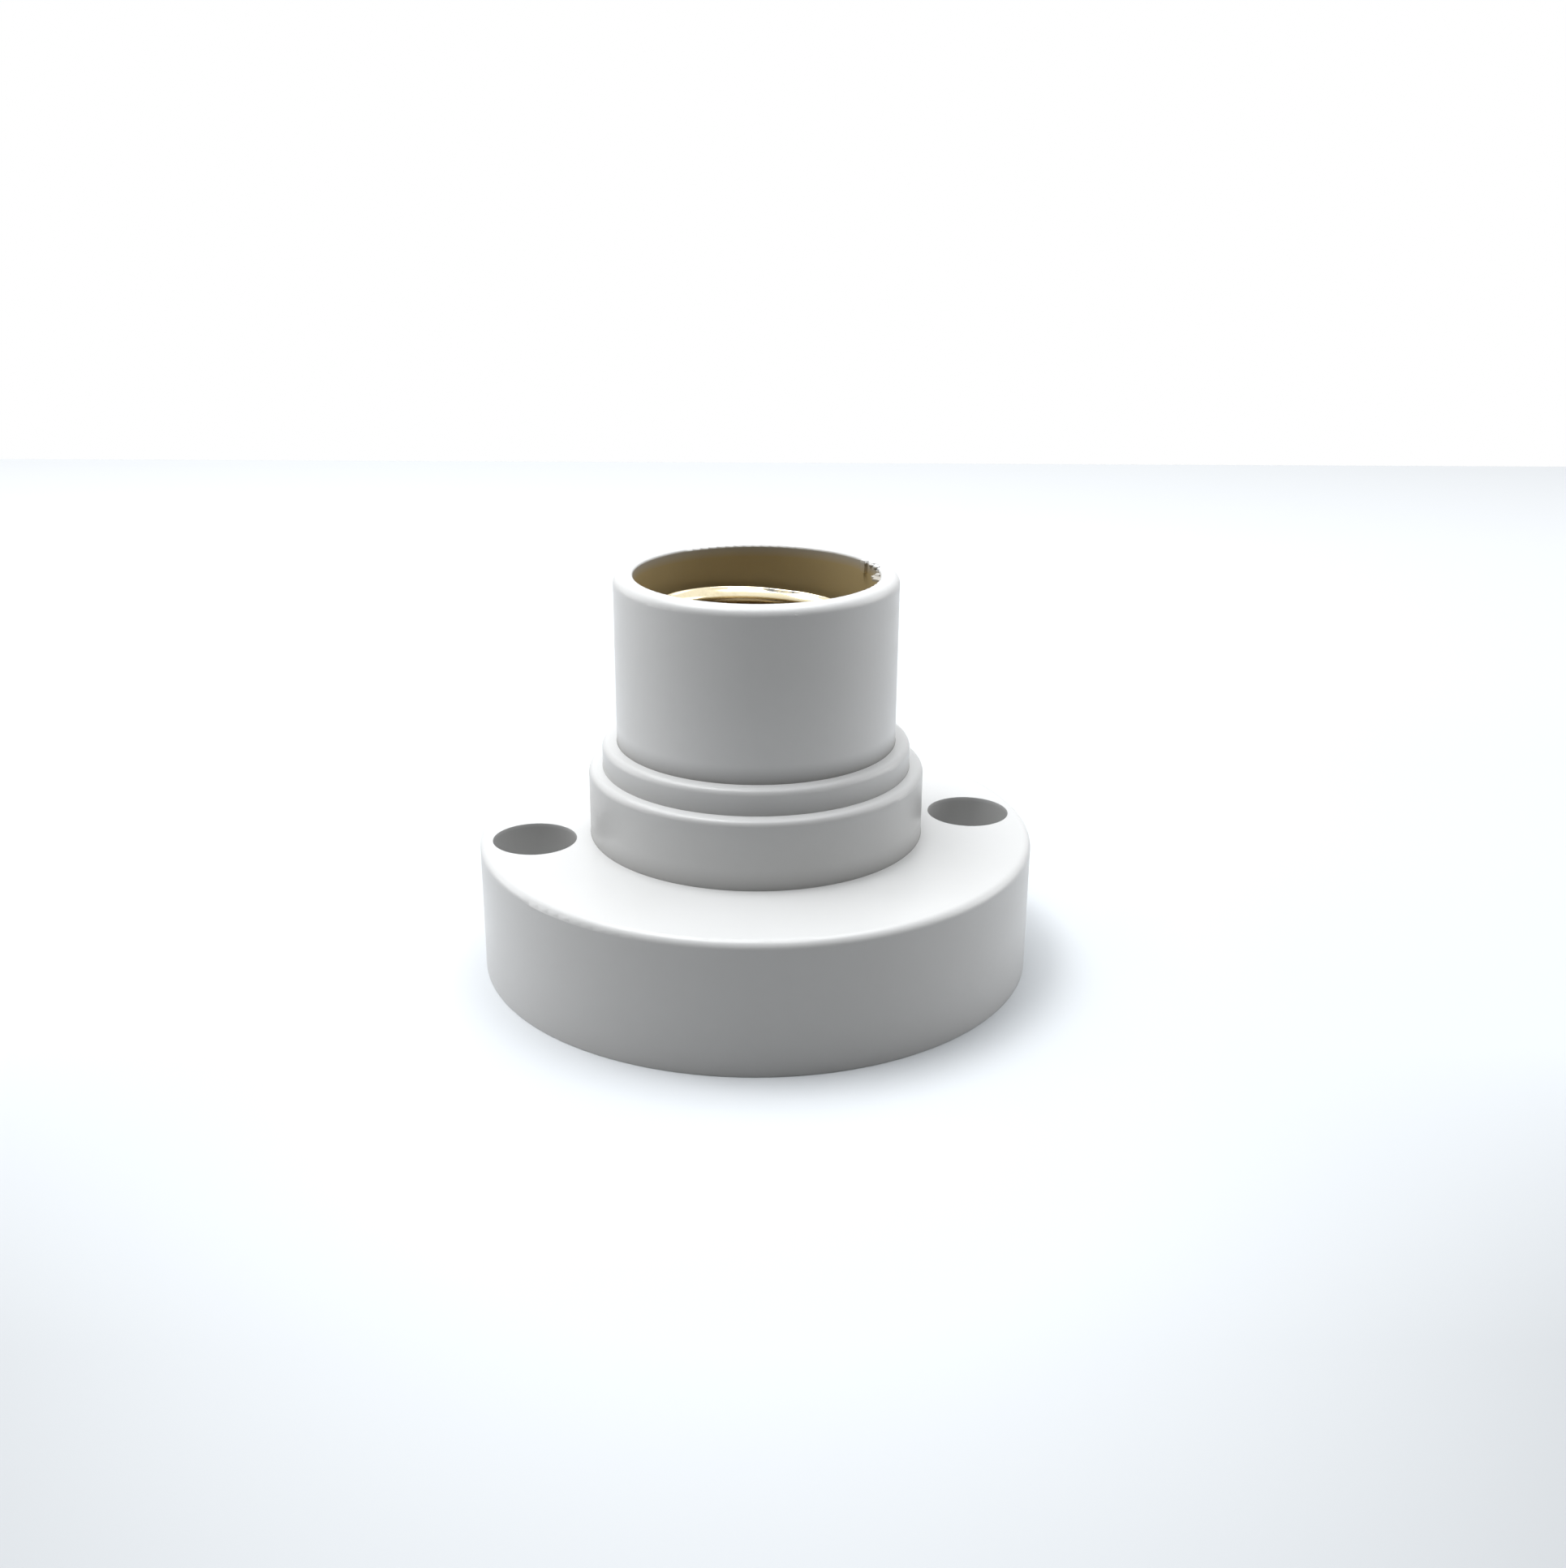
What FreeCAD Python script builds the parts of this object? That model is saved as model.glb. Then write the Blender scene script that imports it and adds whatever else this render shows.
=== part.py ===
"""Surface-mounted lamp holder for one E27 lamp, as a parametric FreeCAD document.

Millimetres, +Z up. The rear rim of the base lies on Z = 0 and the lamp axis is Z.
The two fixing wells and the two wire terminals lie on the X axis. The terminals hang
under the contact block, and their screws are turned from the open rear.
"""
import FreeCAD, Part

import math
import os
import re

import Sketcher

V = FreeCAD.Vector

# Driving dimensions, in millimetres unless a name ends in _deg.
DIMENSIONS = {
    # housing, outside
    "base_radius": 38.0,
    "base_height": 18.3,
    "collar_radius": 22.9,
    "collar_height": 27.8,
    "ring_radius": 21.0,
    "ring_height": 31.3,
    "barrel_radius": 19.0,
    "total_height": 54.3,
    "base_edge_round": 1.1,
    "step_edge_round": 0.9,
    "rim_edge_round": 1.2,
    "rim_inner_round": 0.35,
    # housing, inside
    "wall": 2.4,
    "bore_radius": 16.4,
    "ring_bore_radius": 18.4,
    "collar_bore_radius": 20.4,
    # fixing wells, with a round-ended slot in each floor
    "well_offset": 30.6,
    "well_radius": 5.7,
    "well_wall": 1.8,
    "well_floor": 3.0,
    "slot_width": 4.5,
    "slot_length": 7.0,
    # ribs, screw bosses and cable entry inside the base
    "rib_thickness": 1.6,
    "rib_depth": 5.0,
    "rib_start": 21.4,
    "boss_offset": 26.5,
    "boss_radius": 3.4,
    "boss_bottom": 13.4,
    "pilot_radius": 1.45,
    "pilot_top": 17.0,
    "entry_width": 9.0,
    "entry_height": 8.0,
    "entry_web": 0.8,
    # contact block
    "block_clearance": 0.2,
    "block_bottom": 11.0,
    "deck_bottom": 22.2,
    "cup_bore_radius": 14.3,
    "cup_height": 28.7,
    "ear_thickness": 2.4,
    "ear_hole_radius": 1.6,
    "pillar_length": 7.2,
    "pillar_width": 9.0,
    "pillar_bottom": 18.4,
    "screw_well_radius": 1.9,
    "screw_well_top": 23.6,
    # screw shell, rolled from sheet with the E27 thread
    "sheet": 0.45,
    "thread_minor_radius": 12.2,
    "thread_major_radius": 13.3,
    "thread_pitch": 3.629,
    "groove_mouth": 3.1,
    "groove_root": 1.1,
    "thread_bottom": 33.2,
    "shell_top": 49.3,
    "floor_hole_radius": 9.8,
    "tab_width": 5.0,
    "fixing_tab_reach": 7.4,
    "live_tab_reach": 4.7,
    # tubular rivets
    "rivet_radius": 1.0,
    "rivet_bore_radius": 0.55,
    "rivet_head_radius": 1.7,
    "rivet_head_height": 0.6,
    "shell_rivet_offset": 9.5,
    "neutral_rivet_offset": 6.8,
    "line_rivet_offset": 2.6,
    # centre contact
    "leaf": 0.4,
    "leaf_width": 4.6,
    "leaf_root": 0.6,
    "leaf_bend": 5.2,
    "leaf_bend_radius": 1.1,
    "pad_middle": 29.2,
    "pad_half": 2.0,
    "leaf_tip": 3.2,
    "leaf_tip_drop": 0.9,
    "button_radius": 2.1,
    "button_height": 0.9,
    "button_edge_round": 0.7,
    "button_shank_radius": 0.9,
    "button_tail_radius": 1.5,
    "button_tail_height": 0.4,
    "running_gap": 0.05,
    # terminals, their clamp screws and washers
    "terminal_offset": 13.5,
    "strip": 1.0,
    "strip_width": 7.0,
    "foot_width": 4.2,
    "foot_past_rivet": 2.0,
    "bend_round": 0.8,
    "clamp_screw_radius": 1.75,
    "clamp_head_radius": 3.1,
    "clamp_head_height": 2.2,
    "clamp_shank_top": 22.6,
    "driver_slot_width": 0.8,
    "driver_slot_depth": 1.1,
    "washer": 0.8,
    "washer_half_length": 3.3,
    "washer_lip": 0.7,
    "washer_lip_thickness": 0.6,
    # self-tapping screws of the block
    "tapping_head_radius": 2.7,
    "tapping_head_height": 1.8,
    "tapping_head_round": 0.6,
    "recess_length": 3.0,
    "recess_width": 0.7,
    "recess_depth": 1.0,
    # ragged trace of the moulding gate on the rim's inner edge
    "flash": 0.3,
    "flash_reach": 1.2,
    "flash_drop": 0.55,
}
ALIAS = re.compile(r"\b(" + "|".join(DIMENSIONS) + r")\b")


def build_sheet(doc):
    """Put the driving dimensions in a sheet that the document's expressions read."""
    sheet = doc.addObject("Spreadsheet::Sheet", "dims")
    for row, (alias, value) in enumerate(DIMENSIONS.items(), start=1):
        sheet.set(f"A{row}", alias)
        sheet.set(f"B{row}", str(value))
        sheet.setAlias(f"B{row}", alias)
    doc.recompute()


def bound(expression):
    """An expression over the dimensions, as the document's expression engine reads it."""
    return ALIAS.sub(r"dims.\1", expression)


def value(thing, expression):
    """What an expression over the dimensions comes to now."""
    return float(thing.evalExpression(bound(expression)))


def origin_feature(body, role):
    """The body's own base plane or axis with this role."""
    return next(f for f in body.Origin.OriginFeatures if f.Role == role)


def new_body(doc, label):
    """A body whose label is also its node's name."""
    body = doc.addObject("PartDesign::Body", label)
    body.Label = label
    return body


def add_sketch(body, name, role="XY_Plane", height=None):
    """A sketch on one of the body's base planes, or raised from it to a height."""
    sketch = body.newObject("Sketcher::SketchObject", name)
    sketch.AttachmentSupport = (origin_feature(body, role), [""])
    sketch.MapMode = "FlatFace"
    if height:
        sketch.setExpression("AttachmentOffset.Base.z", bound(height))
    return sketch


def hold(sketch, geometry, point, axis, expression):
    """Hold one coordinate of a sketch point at an expression."""
    now = value(sketch, expression)
    if abs(now) < 1e-9:
        line = -2 if axis == "DistanceX" else -1
        sketch.addConstraint(Sketcher.Constraint("PointOnObject", geometry, point, line))
        return
    number = sketch.addConstraint(
        Sketcher.Constraint(axis, -1, 1, geometry, point, now)
    )
    sketch.setExpression(f"Constraints[{number}]", bound(expression))


def hold_point(sketch, geometry, point, across, up):
    """Hold both coordinates of a sketch point."""
    hold(sketch, geometry, point, "DistanceX", across)
    hold(sketch, geometry, point, "DistanceY", up)


def add_polygon(sketch, corners):
    """A closed outline whose corners are pairs of expressions."""
    places = [V(value(sketch, x), value(sketch, y), 0) for x, y in corners]
    first = sketch.GeometryCount
    count = len(places)
    for i, place in enumerate(places):
        sketch.addGeometry(Part.LineSegment(place, places[(i + 1) % count]), False)
    for i, (across, up) in enumerate(corners):
        after = first + (i + 1) % count
        sketch.addConstraint(Sketcher.Constraint("Coincident", first + i, 2, after, 1))
        hold_point(sketch, first + i, 1, across, up)


def add_rectangle(sketch, left, right, low, high):
    """An upright rectangle between four expressions."""
    add_polygon(sketch, [(left, low), (right, low), (right, high), (left, high)])


def add_circle(sketch, across, up, radius):
    """A circle whose centre and radius are expressions."""
    centre = V(value(sketch, across), value(sketch, up), 0)
    size = value(sketch, radius)
    number = sketch.addGeometry(Part.Circle(centre, V(0, 0, 1), size), False)
    hold_point(sketch, number, 3, across, up)
    held = sketch.addConstraint(Sketcher.Constraint("Radius", number, size))
    sketch.setExpression(f"Constraints[{held}]", bound(radius))


def add_long_hole(sketch, across, length, width):
    """A round-ended slot along X about a point of the X axis."""
    reach = f"({length}-{width})/2"
    ends = [f"{across}-{reach}", f"{across}+{reach}"]
    near, far = (value(sketch, end) for end in ends)
    half = value(sketch, f"{width}/2")
    first = sketch.GeometryCount
    sketch.addGeometry(Part.LineSegment(V(near, -half, 0), V(far, -half, 0)), False)
    right = Part.Arc(V(far, -half, 0), V(far + half, 0, 0), V(far, half, 0))
    sketch.addGeometry(right, False)
    sketch.addGeometry(Part.LineSegment(V(far, half, 0), V(near, half, 0)), False)
    left = Part.Arc(V(near, half, 0), V(near - half, 0, 0), V(near, -half, 0))
    sketch.addGeometry(left, False)
    for i in range(4):
        after = first + (i + 1) % 4
        sketch.addConstraint(Sketcher.Constraint("Coincident", first + i, 2, after, 1))
    hold_point(sketch, first, 1, ends[0], f"-{width}/2")
    hold_point(sketch, first, 2, ends[1], f"-{width}/2")
    hold_point(sketch, first + 2, 1, ends[1], f"{width}/2")
    hold_point(sketch, first + 2, 2, ends[0], f"{width}/2")
    hold(sketch, first + 1, 3, "DistanceX", ends[1])
    hold(sketch, first + 3, 3, "DistanceX", ends[0])


def finished(feature, cut=False):
    """Recompute, and see that a cut takes material and anything else adds it."""
    feature.Document.recompute()
    base = feature.BaseFeature
    if base is None:
        return feature
    change = feature.Shape.Volume - base.Shape.Volume
    if (change < 0) != cut or abs(change) < 1e-6:
        raise RuntimeError(f"{feature.Label} changes the volume by {change:.4f}")
    return feature


def revolve(body, name, corners, cut=False):
    """Turn an outline in the XZ plane about Z, as material or as a groove."""
    sketch = add_sketch(body, name + "_outline", "XZ_Plane")
    add_polygon(sketch, corners)
    feature = body.newObject("PartDesign::Groove" if cut else "PartDesign::Revolution", name)
    feature.Profile = sketch
    feature.ReferenceAxis = (origin_feature(body, "Z_Axis"), [""])
    feature.Angle = 360
    return finished(feature, cut)


def pad(body, name, sketch, length):
    """Raise a sketch along its normal by a length."""
    feature = body.newObject("PartDesign::Pad", name)
    feature.Profile = sketch
    feature.setExpression("Length", bound(length))
    return finished(feature)


def pad_across(body, name, sketch, width):
    """Thicken a sketch evenly to both sides of its plane."""
    feature = body.newObject("PartDesign::Pad", name)
    feature.Profile = sketch
    feature.setExpression("Length", bound(width))
    feature.Midplane = True
    return finished(feature)


def pocket(body, name, sketch, depth):
    """Cut a sketch along its normal to a depth."""
    feature = body.newObject("PartDesign::Pocket", name)
    feature.Profile = sketch
    feature.setExpression("Length", bound(depth))
    feature.Reversed = True
    return finished(feature, cut=True)


def mirrored(body, name, features, role):
    """Repeat features on the other side of one of the base planes."""
    feature = body.newObject("PartDesign::Mirrored", name)
    feature.Originals = features
    feature.MirrorPlane = (origin_feature(body, role), [""])
    body.Tip = feature
    body.Document.recompute()
    return feature


def circular_edges(shape, radius, height):
    """Names of the full circles about Z with this radius, at this height."""
    names = []
    for number, edge in enumerate(shape.Edges, start=1):
        if not isinstance(edge.Curve, Part.Circle):
            continue
        centre = edge.Curve.Center
        about_axis = math.hypot(centre.x, centre.y) < 1e-4
        if about_axis and abs(centre.z - height) + abs(edge.Curve.Radius - radius) < 1e-4:
            names.append(f"Edge{number}")
    return names


def cross_edges(shape, across, height):
    """Names of the straight edges along Y that pass this X and Z."""
    names = []
    for number, edge in enumerate(shape.Edges, start=1):
        first, last = edge.Vertexes[0].Point, edge.Vertexes[-1].Point
        along = abs(first.y - last.y) > 0.1
        level = abs(first.z - last.z) + abs(first.x - last.x) < 1e-4
        if along and level and abs(first.x - across) + abs(first.z - height) < 1e-4:
            names.append(f"Edge{number}")
    return names


def round_over(body, name, base, edges, radius):
    """Round the named edges of a feature."""
    if not edges:
        raise RuntimeError(f"{name}: no edge to round")
    feature = body.newObject("PartDesign::Fillet", name)
    feature.Base = (base, edges)
    feature.setExpression("Radius", bound(radius))
    body.Document.recompute()
    return feature


def round_circles(body, name, base, places, radius):
    """Round the circular edges at these (radius, height) expressions."""
    edges = []
    for across, height in places:
        edges += circular_edges(base.Shape, value(body, across), value(body, height))
    return round_over(body, name, base, edges, radius)


# ---------------------------------------------------------------- housing


def housing_wall(body):
    """Base, collar, ring and barrel turned as one wall, with the outer edges rounded."""
    plate = "base_height-wall"
    turned = revolve(
        body,
        "wall_turned",
        [
            ("base_radius", "0"),
            ("base_radius", "base_height"),
            ("collar_radius", "base_height"),
            ("collar_radius", "collar_height"),
            ("ring_radius", "collar_height"),
            ("ring_radius", "ring_height"),
            ("barrel_radius", "ring_height"),
            ("barrel_radius", "total_height"),
            ("bore_radius", "total_height"),
            ("bore_radius", "ring_height-wall"),
            ("ring_bore_radius", "ring_height-wall"),
            ("ring_bore_radius", "collar_height-wall"),
            ("collar_bore_radius", "collar_height-wall"),
            ("collar_bore_radius", plate),
            ("base_radius-wall", plate),
            ("base_radius-wall", "0"),
        ],
    )
    base = round_circles(
        body, "base_edge", turned, [("base_radius", "base_height")], "base_edge_round"
    )
    steps = [("collar_radius", "collar_height"), ("ring_radius", "ring_height")]
    stepped = round_circles(body, "step_edges", base, steps, "step_edge_round")
    rim = round_circles(
        body, "rim_edge", stepped, [("barrel_radius", "total_height")], "rim_edge_round"
    )
    return round_circles(
        body, "rim_inner", rim, [("bore_radius", "total_height")], "rim_inner_round"
    )


def housing_ribs(body):
    """Four ribs under the plate, halfway between the wells and the screw bosses."""
    sketch = add_sketch(body, "rib_outline", "XZ_Plane")
    sketch.AttachmentOffset = FreeCAD.Placement(V(), FreeCAD.Rotation(V(0, 1, 0), 45))
    plate = "base_height-wall"
    add_rectangle(
        sketch, "rib_start", "base_radius-wall/2", f"{plate}-rib_depth", f"{plate}+wall/4"
    )
    rib = pad_across(body, "rib", sketch, "rib_thickness")
    feature = body.newObject("PartDesign::PolarPattern", "ribs")
    feature.Originals = [rib]
    feature.Axis = (origin_feature(body, "Z_Axis"), [""])
    feature.Angle = 360
    feature.Occurrences = 4
    body.Tip = feature
    return finished(feature)


def housing_wells(body):
    """Two deep wells for the fixing screws, each with a round-ended slot in its floor."""
    tube = add_sketch(body, "well_tube_outline")
    add_circle(tube, "well_offset", "0", "well_radius+well_wall")
    wall = pad(body, "well_tube", tube, "base_height-wall/2")
    # the tube's far side stays within the skirt's outer face
    far = "well_offset+well_radius+2*well_wall"
    under_round = "base_height-base_edge_round"
    trim = revolve(
        body,
        "skirt_trim",
        [
            ("base_radius", "0"),
            (far, "0"),
            (far, under_round),
            ("base_radius", under_round),
        ],
        cut=True,
    )
    shaft = add_sketch(body, "well_outline", height="well_floor")
    add_circle(shaft, "well_offset", "0", "well_radius")
    hole = pocket(body, "well", shaft, "base_height")
    slot = add_sketch(body, "slot_outline")
    add_long_hole(slot, "well_offset", "slot_length", "slot_width")
    opening = pocket(body, "slot", slot, "well_floor")
    return mirrored(body, "wells", [wall, trim, hole, opening], "YZ_Plane")


def housing_bosses(body):
    """Two bosses under the plate that take the screws of the contact block."""
    outline = add_sketch(body, "boss_outline", height="boss_bottom")
    add_circle(outline, "0", "boss_offset", "boss_radius")
    boss = pad(body, "boss", outline, "base_height-wall/2-boss_bottom")
    pilot = add_sketch(body, "pilot_outline", height="boss_bottom")
    add_circle(pilot, "0", "boss_offset", "pilot_radius")
    hole = pocket(body, "pilot", pilot, "pilot_top-boss_bottom")
    return mirrored(body, "bosses", [boss, hole], "XZ_Plane")


def housing_cable_entry(body):
    """A thinned web in the skirt that is broken out where the cable comes from the side."""
    outline = add_sketch(body, "entry_outline")
    add_rectangle(
        outline,
        "-entry_width/2",
        "entry_width/2",
        "base_radius-2*wall",
        "base_radius-entry_web",
    )
    return pocket(body, "cable_entry", outline, "entry_height")


def rim_point(radius, angle):
    """A point of the rim, as a pair of expressions."""
    return (f"({radius})*cos({angle}deg)", f"({radius})*sin({angle}deg)")


def housing_gate_trace(body):
    """Ragged flash, a tooth and a nick on the rim's inner edge, where the gate broke off."""
    behind = "bore_radius+wall/3"
    flap = add_sketch(body, "flash_outline", height="total_height-flash_drop-flash")
    add_polygon(
        flap,
        [
            rim_point(behind, -19),
            rim_point(behind, -5),
            rim_point("bore_radius-flash_reach*0.5", -6),
            rim_point("bore_radius-flash_reach", -9),
            rim_point("bore_radius-flash_reach*0.7", -12.5),
            rim_point("bore_radius-flash_reach*0.9", -15),
        ],
    )
    pad(body, "flash_flap", flap, "flash")
    nick = add_sketch(body, "nick_outline", height="total_height-flash_drop")
    add_polygon(
        nick,
        [
            rim_point("bore_radius-flash_reach", -3),
            rim_point("bore_radius+flash_reach*0.5", -1),
            rim_point("bore_radius+flash_reach*0.35", 3),
            rim_point("bore_radius+flash_reach*0.6", 6),
            rim_point("bore_radius+flash_reach*0.2", 9),
            rim_point("bore_radius-flash_reach", 11),
        ],
    )
    pocket(body, "broken_nick", nick, "wall")
    tooth = add_sketch(body, "tooth_outline", height="total_height-3*flash_drop")
    add_polygon(
        tooth,
        [
            rim_point(behind, 12),
            rim_point(behind, 18),
            rim_point("bore_radius-flash_reach*0.45", 17),
            rim_point("bore_radius-flash_reach*0.3", 14),
        ],
    )
    return pad(body, "gate_tooth", tooth, "3*flash_drop")


def build_housing(doc):
    """The one-piece moulding: hollow base, wells, stepped collar and barrel."""
    body = new_body(doc, "housing")
    housing_wall(body)
    housing_ribs(body)
    housing_wells(body)
    housing_bosses(body)
    housing_cable_entry(body)
    housing_gate_trace(body)
    return body


# ---------------------------------------------------------- contact block


def build_contact_block(doc):
    """Moulded plug that carries every live piece and seats on the housing's inner step."""
    body = new_body(doc, "contact_block")
    outer = "collar_bore_radius-block_clearance"
    step = "collar_height-wall"
    spigot = "ring_bore_radius-block_clearance"
    revolve(
        body,
        "plug_turned",
        [
            ("0", "deck_bottom"),
            (f"{outer}-wall", "deck_bottom"),
            (f"{outer}-wall", "block_bottom"),
            (outer, "block_bottom"),
            (outer, step),
            (spigot, step),
            (spigot, "cup_height"),
            ("cup_bore_radius", "cup_height"),
            ("cup_bore_radius", step),
            ("0", step),
        ],
    )
    pillar = add_sketch(body, "pillar_outline", height="pillar_bottom")
    add_rectangle(
        pillar,
        "terminal_offset-pillar_length/2",
        "terminal_offset+pillar_length/2",
        "-pillar_width/2",
        "pillar_width/2",
    )
    seat = pad(body, "pillar", pillar, "deck_bottom-pillar_bottom")
    well = add_sketch(body, "screw_well_outline", height="pillar_bottom")
    add_circle(well, "terminal_offset", "0", "screw_well_radius")
    hole = pocket(body, "screw_well", well, "screw_well_top-pillar_bottom")
    mirrored(body, "pillars", [seat, hole], "YZ_Plane")

    ear = add_sketch(body, "ear_outline", height="block_bottom")
    add_polygon(
        ear,
        [
            ("-2*boss_radius", f"{outer}-wall/2"),
            ("2*boss_radius", f"{outer}-wall/2"),
            ("boss_radius", "boss_offset+boss_radius*0.6"),
            ("boss_radius*0.6", "boss_offset+boss_radius"),
            ("-boss_radius*0.6", "boss_offset+boss_radius"),
            ("-boss_radius", "boss_offset+boss_radius*0.6"),
        ],
    )
    lug = pad(body, "ear", ear, "ear_thickness")
    passage = add_sketch(body, "ear_hole_outline", height="block_bottom")
    add_circle(passage, "0", "boss_offset", "ear_hole_radius")
    through = pocket(body, "ear_hole", passage, "ear_thickness")
    mirrored(body, "ears", [lug, through], "XZ_Plane")

    holes = add_sketch(body, "rivet_holes_outline", height="deck_bottom")
    add_circle(holes, "-line_rivet_offset", "0", "rivet_radius")
    add_circle(holes, "neutral_rivet_offset", "0", "rivet_radius")
    add_circle(holes, "0", "shell_rivet_offset", "rivet_radius")
    add_circle(holes, "0", "-shell_rivet_offset", "rivet_radius")
    pocket(body, "rivet_holes", holes, f"{step}-deck_bottom")
    return body


# ------------------------------------------------------------ screw shell


def shell_groove(body, name, open_radius, root_radius, start, past):
    """A helical groove with sloping sides, rolled from one side of the sheet."""
    outline = add_sketch(body, name + "_outline", "XZ_Plane")
    outside = f"{open_radius}{past}"
    add_polygon(
        outline,
        [
            (outside, f"{start}-groove_mouth/2"),
            (open_radius, f"{start}-groove_mouth/2"),
            (root_radius, f"{start}-groove_root/2"),
            (root_radius, f"{start}+groove_root/2"),
            (open_radius, f"{start}+groove_mouth/2"),
            (outside, f"{start}+groove_mouth/2"),
        ],
    )
    feature = body.newObject("PartDesign::SubtractiveHelix", name)
    feature.Profile = outline
    feature.ReferenceAxis = (origin_feature(body, "Z_Axis"), [""])
    feature.Mode = "pitch-height-angle"
    feature.setExpression("Pitch", bound("thread_pitch"))
    feature.setExpression("Height", bound("shell_top-thread_bottom+thread_pitch"))
    feature.LeftHanded = False
    return finished(feature, cut=True)


def build_screw_shell(doc):
    """Brass cup with the lamp thread: grooves on both faces, half a pitch apart."""
    body = new_body(doc, "screw_shell")
    floor = "collar_height-wall"
    outer = "thread_major_radius+sheet"
    neck = "thread_minor_radius+sheet"
    revolve(
        body,
        "cup_turned",
        [
            ("floor_hole_radius", floor),
            (neck, floor),
            (neck, "thread_bottom"),
            (outer, "thread_bottom"),
            (outer, "shell_top"),
            ("thread_minor_radius", "shell_top"),
            ("thread_minor_radius", f"{floor}+sheet"),
            ("floor_hole_radius", f"{floor}+sheet"),
        ],
    )
    tabs = add_sketch(body, "fixing_tab_outline", height=floor)
    joined = "floor_hole_radius+0.5*sheet"
    add_rectangle(
        tabs, "-tab_width/2", "tab_width/2", "fixing_tab_reach", f"{joined}+sheet"
    )
    tab = pad(body, "fixing_tab", tabs, "sheet")
    fixing = add_sketch(body, "fixing_hole_outline", height=floor)
    add_circle(fixing, "0", "shell_rivet_offset", "rivet_radius")
    hole = pocket(body, "fixing_hole", fixing, "sheet")
    mirrored(body, "fixing_tabs", [tab, hole], "XZ_Plane")
    live = add_sketch(body, "live_tab_outline", height=floor)
    add_rectangle(
        live, "live_tab_reach", f"{joined}+sheet", "-tab_width/2", "tab_width/2"
    )
    pad(body, "live_tab", live, "sheet")
    contact = add_sketch(body, "live_hole_outline", height=floor)
    add_circle(contact, "neutral_rivet_offset", "0", "rivet_radius")
    pocket(body, "live_hole", contact, "sheet")

    start = "thread_bottom+groove_mouth/2"
    shell_groove(
        body, "inner_groove", "thread_minor_radius", "thread_major_radius", start, "-sheet"
    )
    shell_groove(body, "outer_groove", outer, neck, f"{start}-thread_pitch/2", "+sheet")
    return body


# ------------------------------------------------------------------ rivets


def rivet(doc, label, low, high):
    """A tubular rivet about Z whose heads clamp from one height to another."""
    body = new_body(doc, label)
    revolve(
        body,
        "rivet_turned",
        [
            ("rivet_bore_radius", f"{low}-rivet_head_height"),
            ("rivet_head_radius", f"{low}-rivet_head_height"),
            ("rivet_head_radius", low),
            ("rivet_radius", low),
            ("rivet_radius", high),
            ("rivet_head_radius", high),
            ("rivet_bore_radius*1.5", f"{high}+rivet_head_height"),
            ("rivet_bore_radius", f"{high}+rivet_head_height"),
        ],
    )
    return body


def both_sides(doc, label, body, normal):
    """One node that holds a piece and its mirror image."""
    twin = doc.addObject("Part::Mirroring", label + "_twin")
    twin.Source = body
    twin.Normal = normal
    node = doc.addObject("Part::Compound", label)
    node.Label = label
    node.Links = [body, twin]
    doc.recompute()
    return node


def build_shell_rivets(doc):
    """The two rivets that hold the shell to the block."""
    one = rivet(doc, "shell_rivet", "deck_bottom", "collar_height-wall+sheet")
    one.setExpression("Placement.Base.y", bound("shell_rivet_offset"))
    return both_sides(doc, "shell_rivets", one, V(0, 1, 0))


def build_line_rivet(doc):
    """The rivet through leaf, block and line strip."""
    one = rivet(doc, "line_rivet", "deck_bottom-strip", "collar_height-wall+leaf")
    one.setExpression("Placement.Base.x", bound("-line_rivet_offset"))
    return one


def build_neutral_rivet(doc):
    """The rivet through the shell's tab, block and neutral strip."""
    one = rivet(doc, "neutral_rivet", "deck_bottom-strip", "collar_height-wall+sheet")
    one.setExpression("Placement.Base.x", bound("neutral_rivet_offset"))
    return one


# ---------------------------------------------------------- centre contact


def leaf_path(body):
    """The leaf's middle line: flat root, hairpin bend, ramp, flat pad and tip."""
    sketch = add_sketch(body, "leaf_path", "XZ_Plane")
    root = value(body, "collar_height-wall+leaf/2")
    bend = value(body, "leaf_bend_radius")
    left = -value(body, "leaf_bend")
    pad_z = value(body, "pad_middle")
    half = value(body, "pad_half")
    lean = math.radians(115)
    centre = V(left, root + bend, 0)
    top = centre + V(bend * math.cos(lean), bend * math.sin(lean), 0)
    tip = V(value(body, "leaf_tip"), pad_z - value(body, "leaf_tip_drop"), 0)
    start = V(-value(body, "leaf_root"), root, 0)
    sketch.addGeometry(Part.LineSegment(start, V(left, root, 0)), False)
    sketch.addGeometry(
        Part.Arc(V(left, root, 0), centre + V(-bend, 0, 0), top), False
    )
    sketch.addGeometry(Part.LineSegment(top, V(-half, pad_z, 0)), False)
    sketch.addGeometry(Part.LineSegment(V(-half, pad_z, 0), V(half, pad_z, 0)), False)
    sketch.addGeometry(Part.LineSegment(V(half, pad_z, 0), tip), False)
    return sketch


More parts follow.
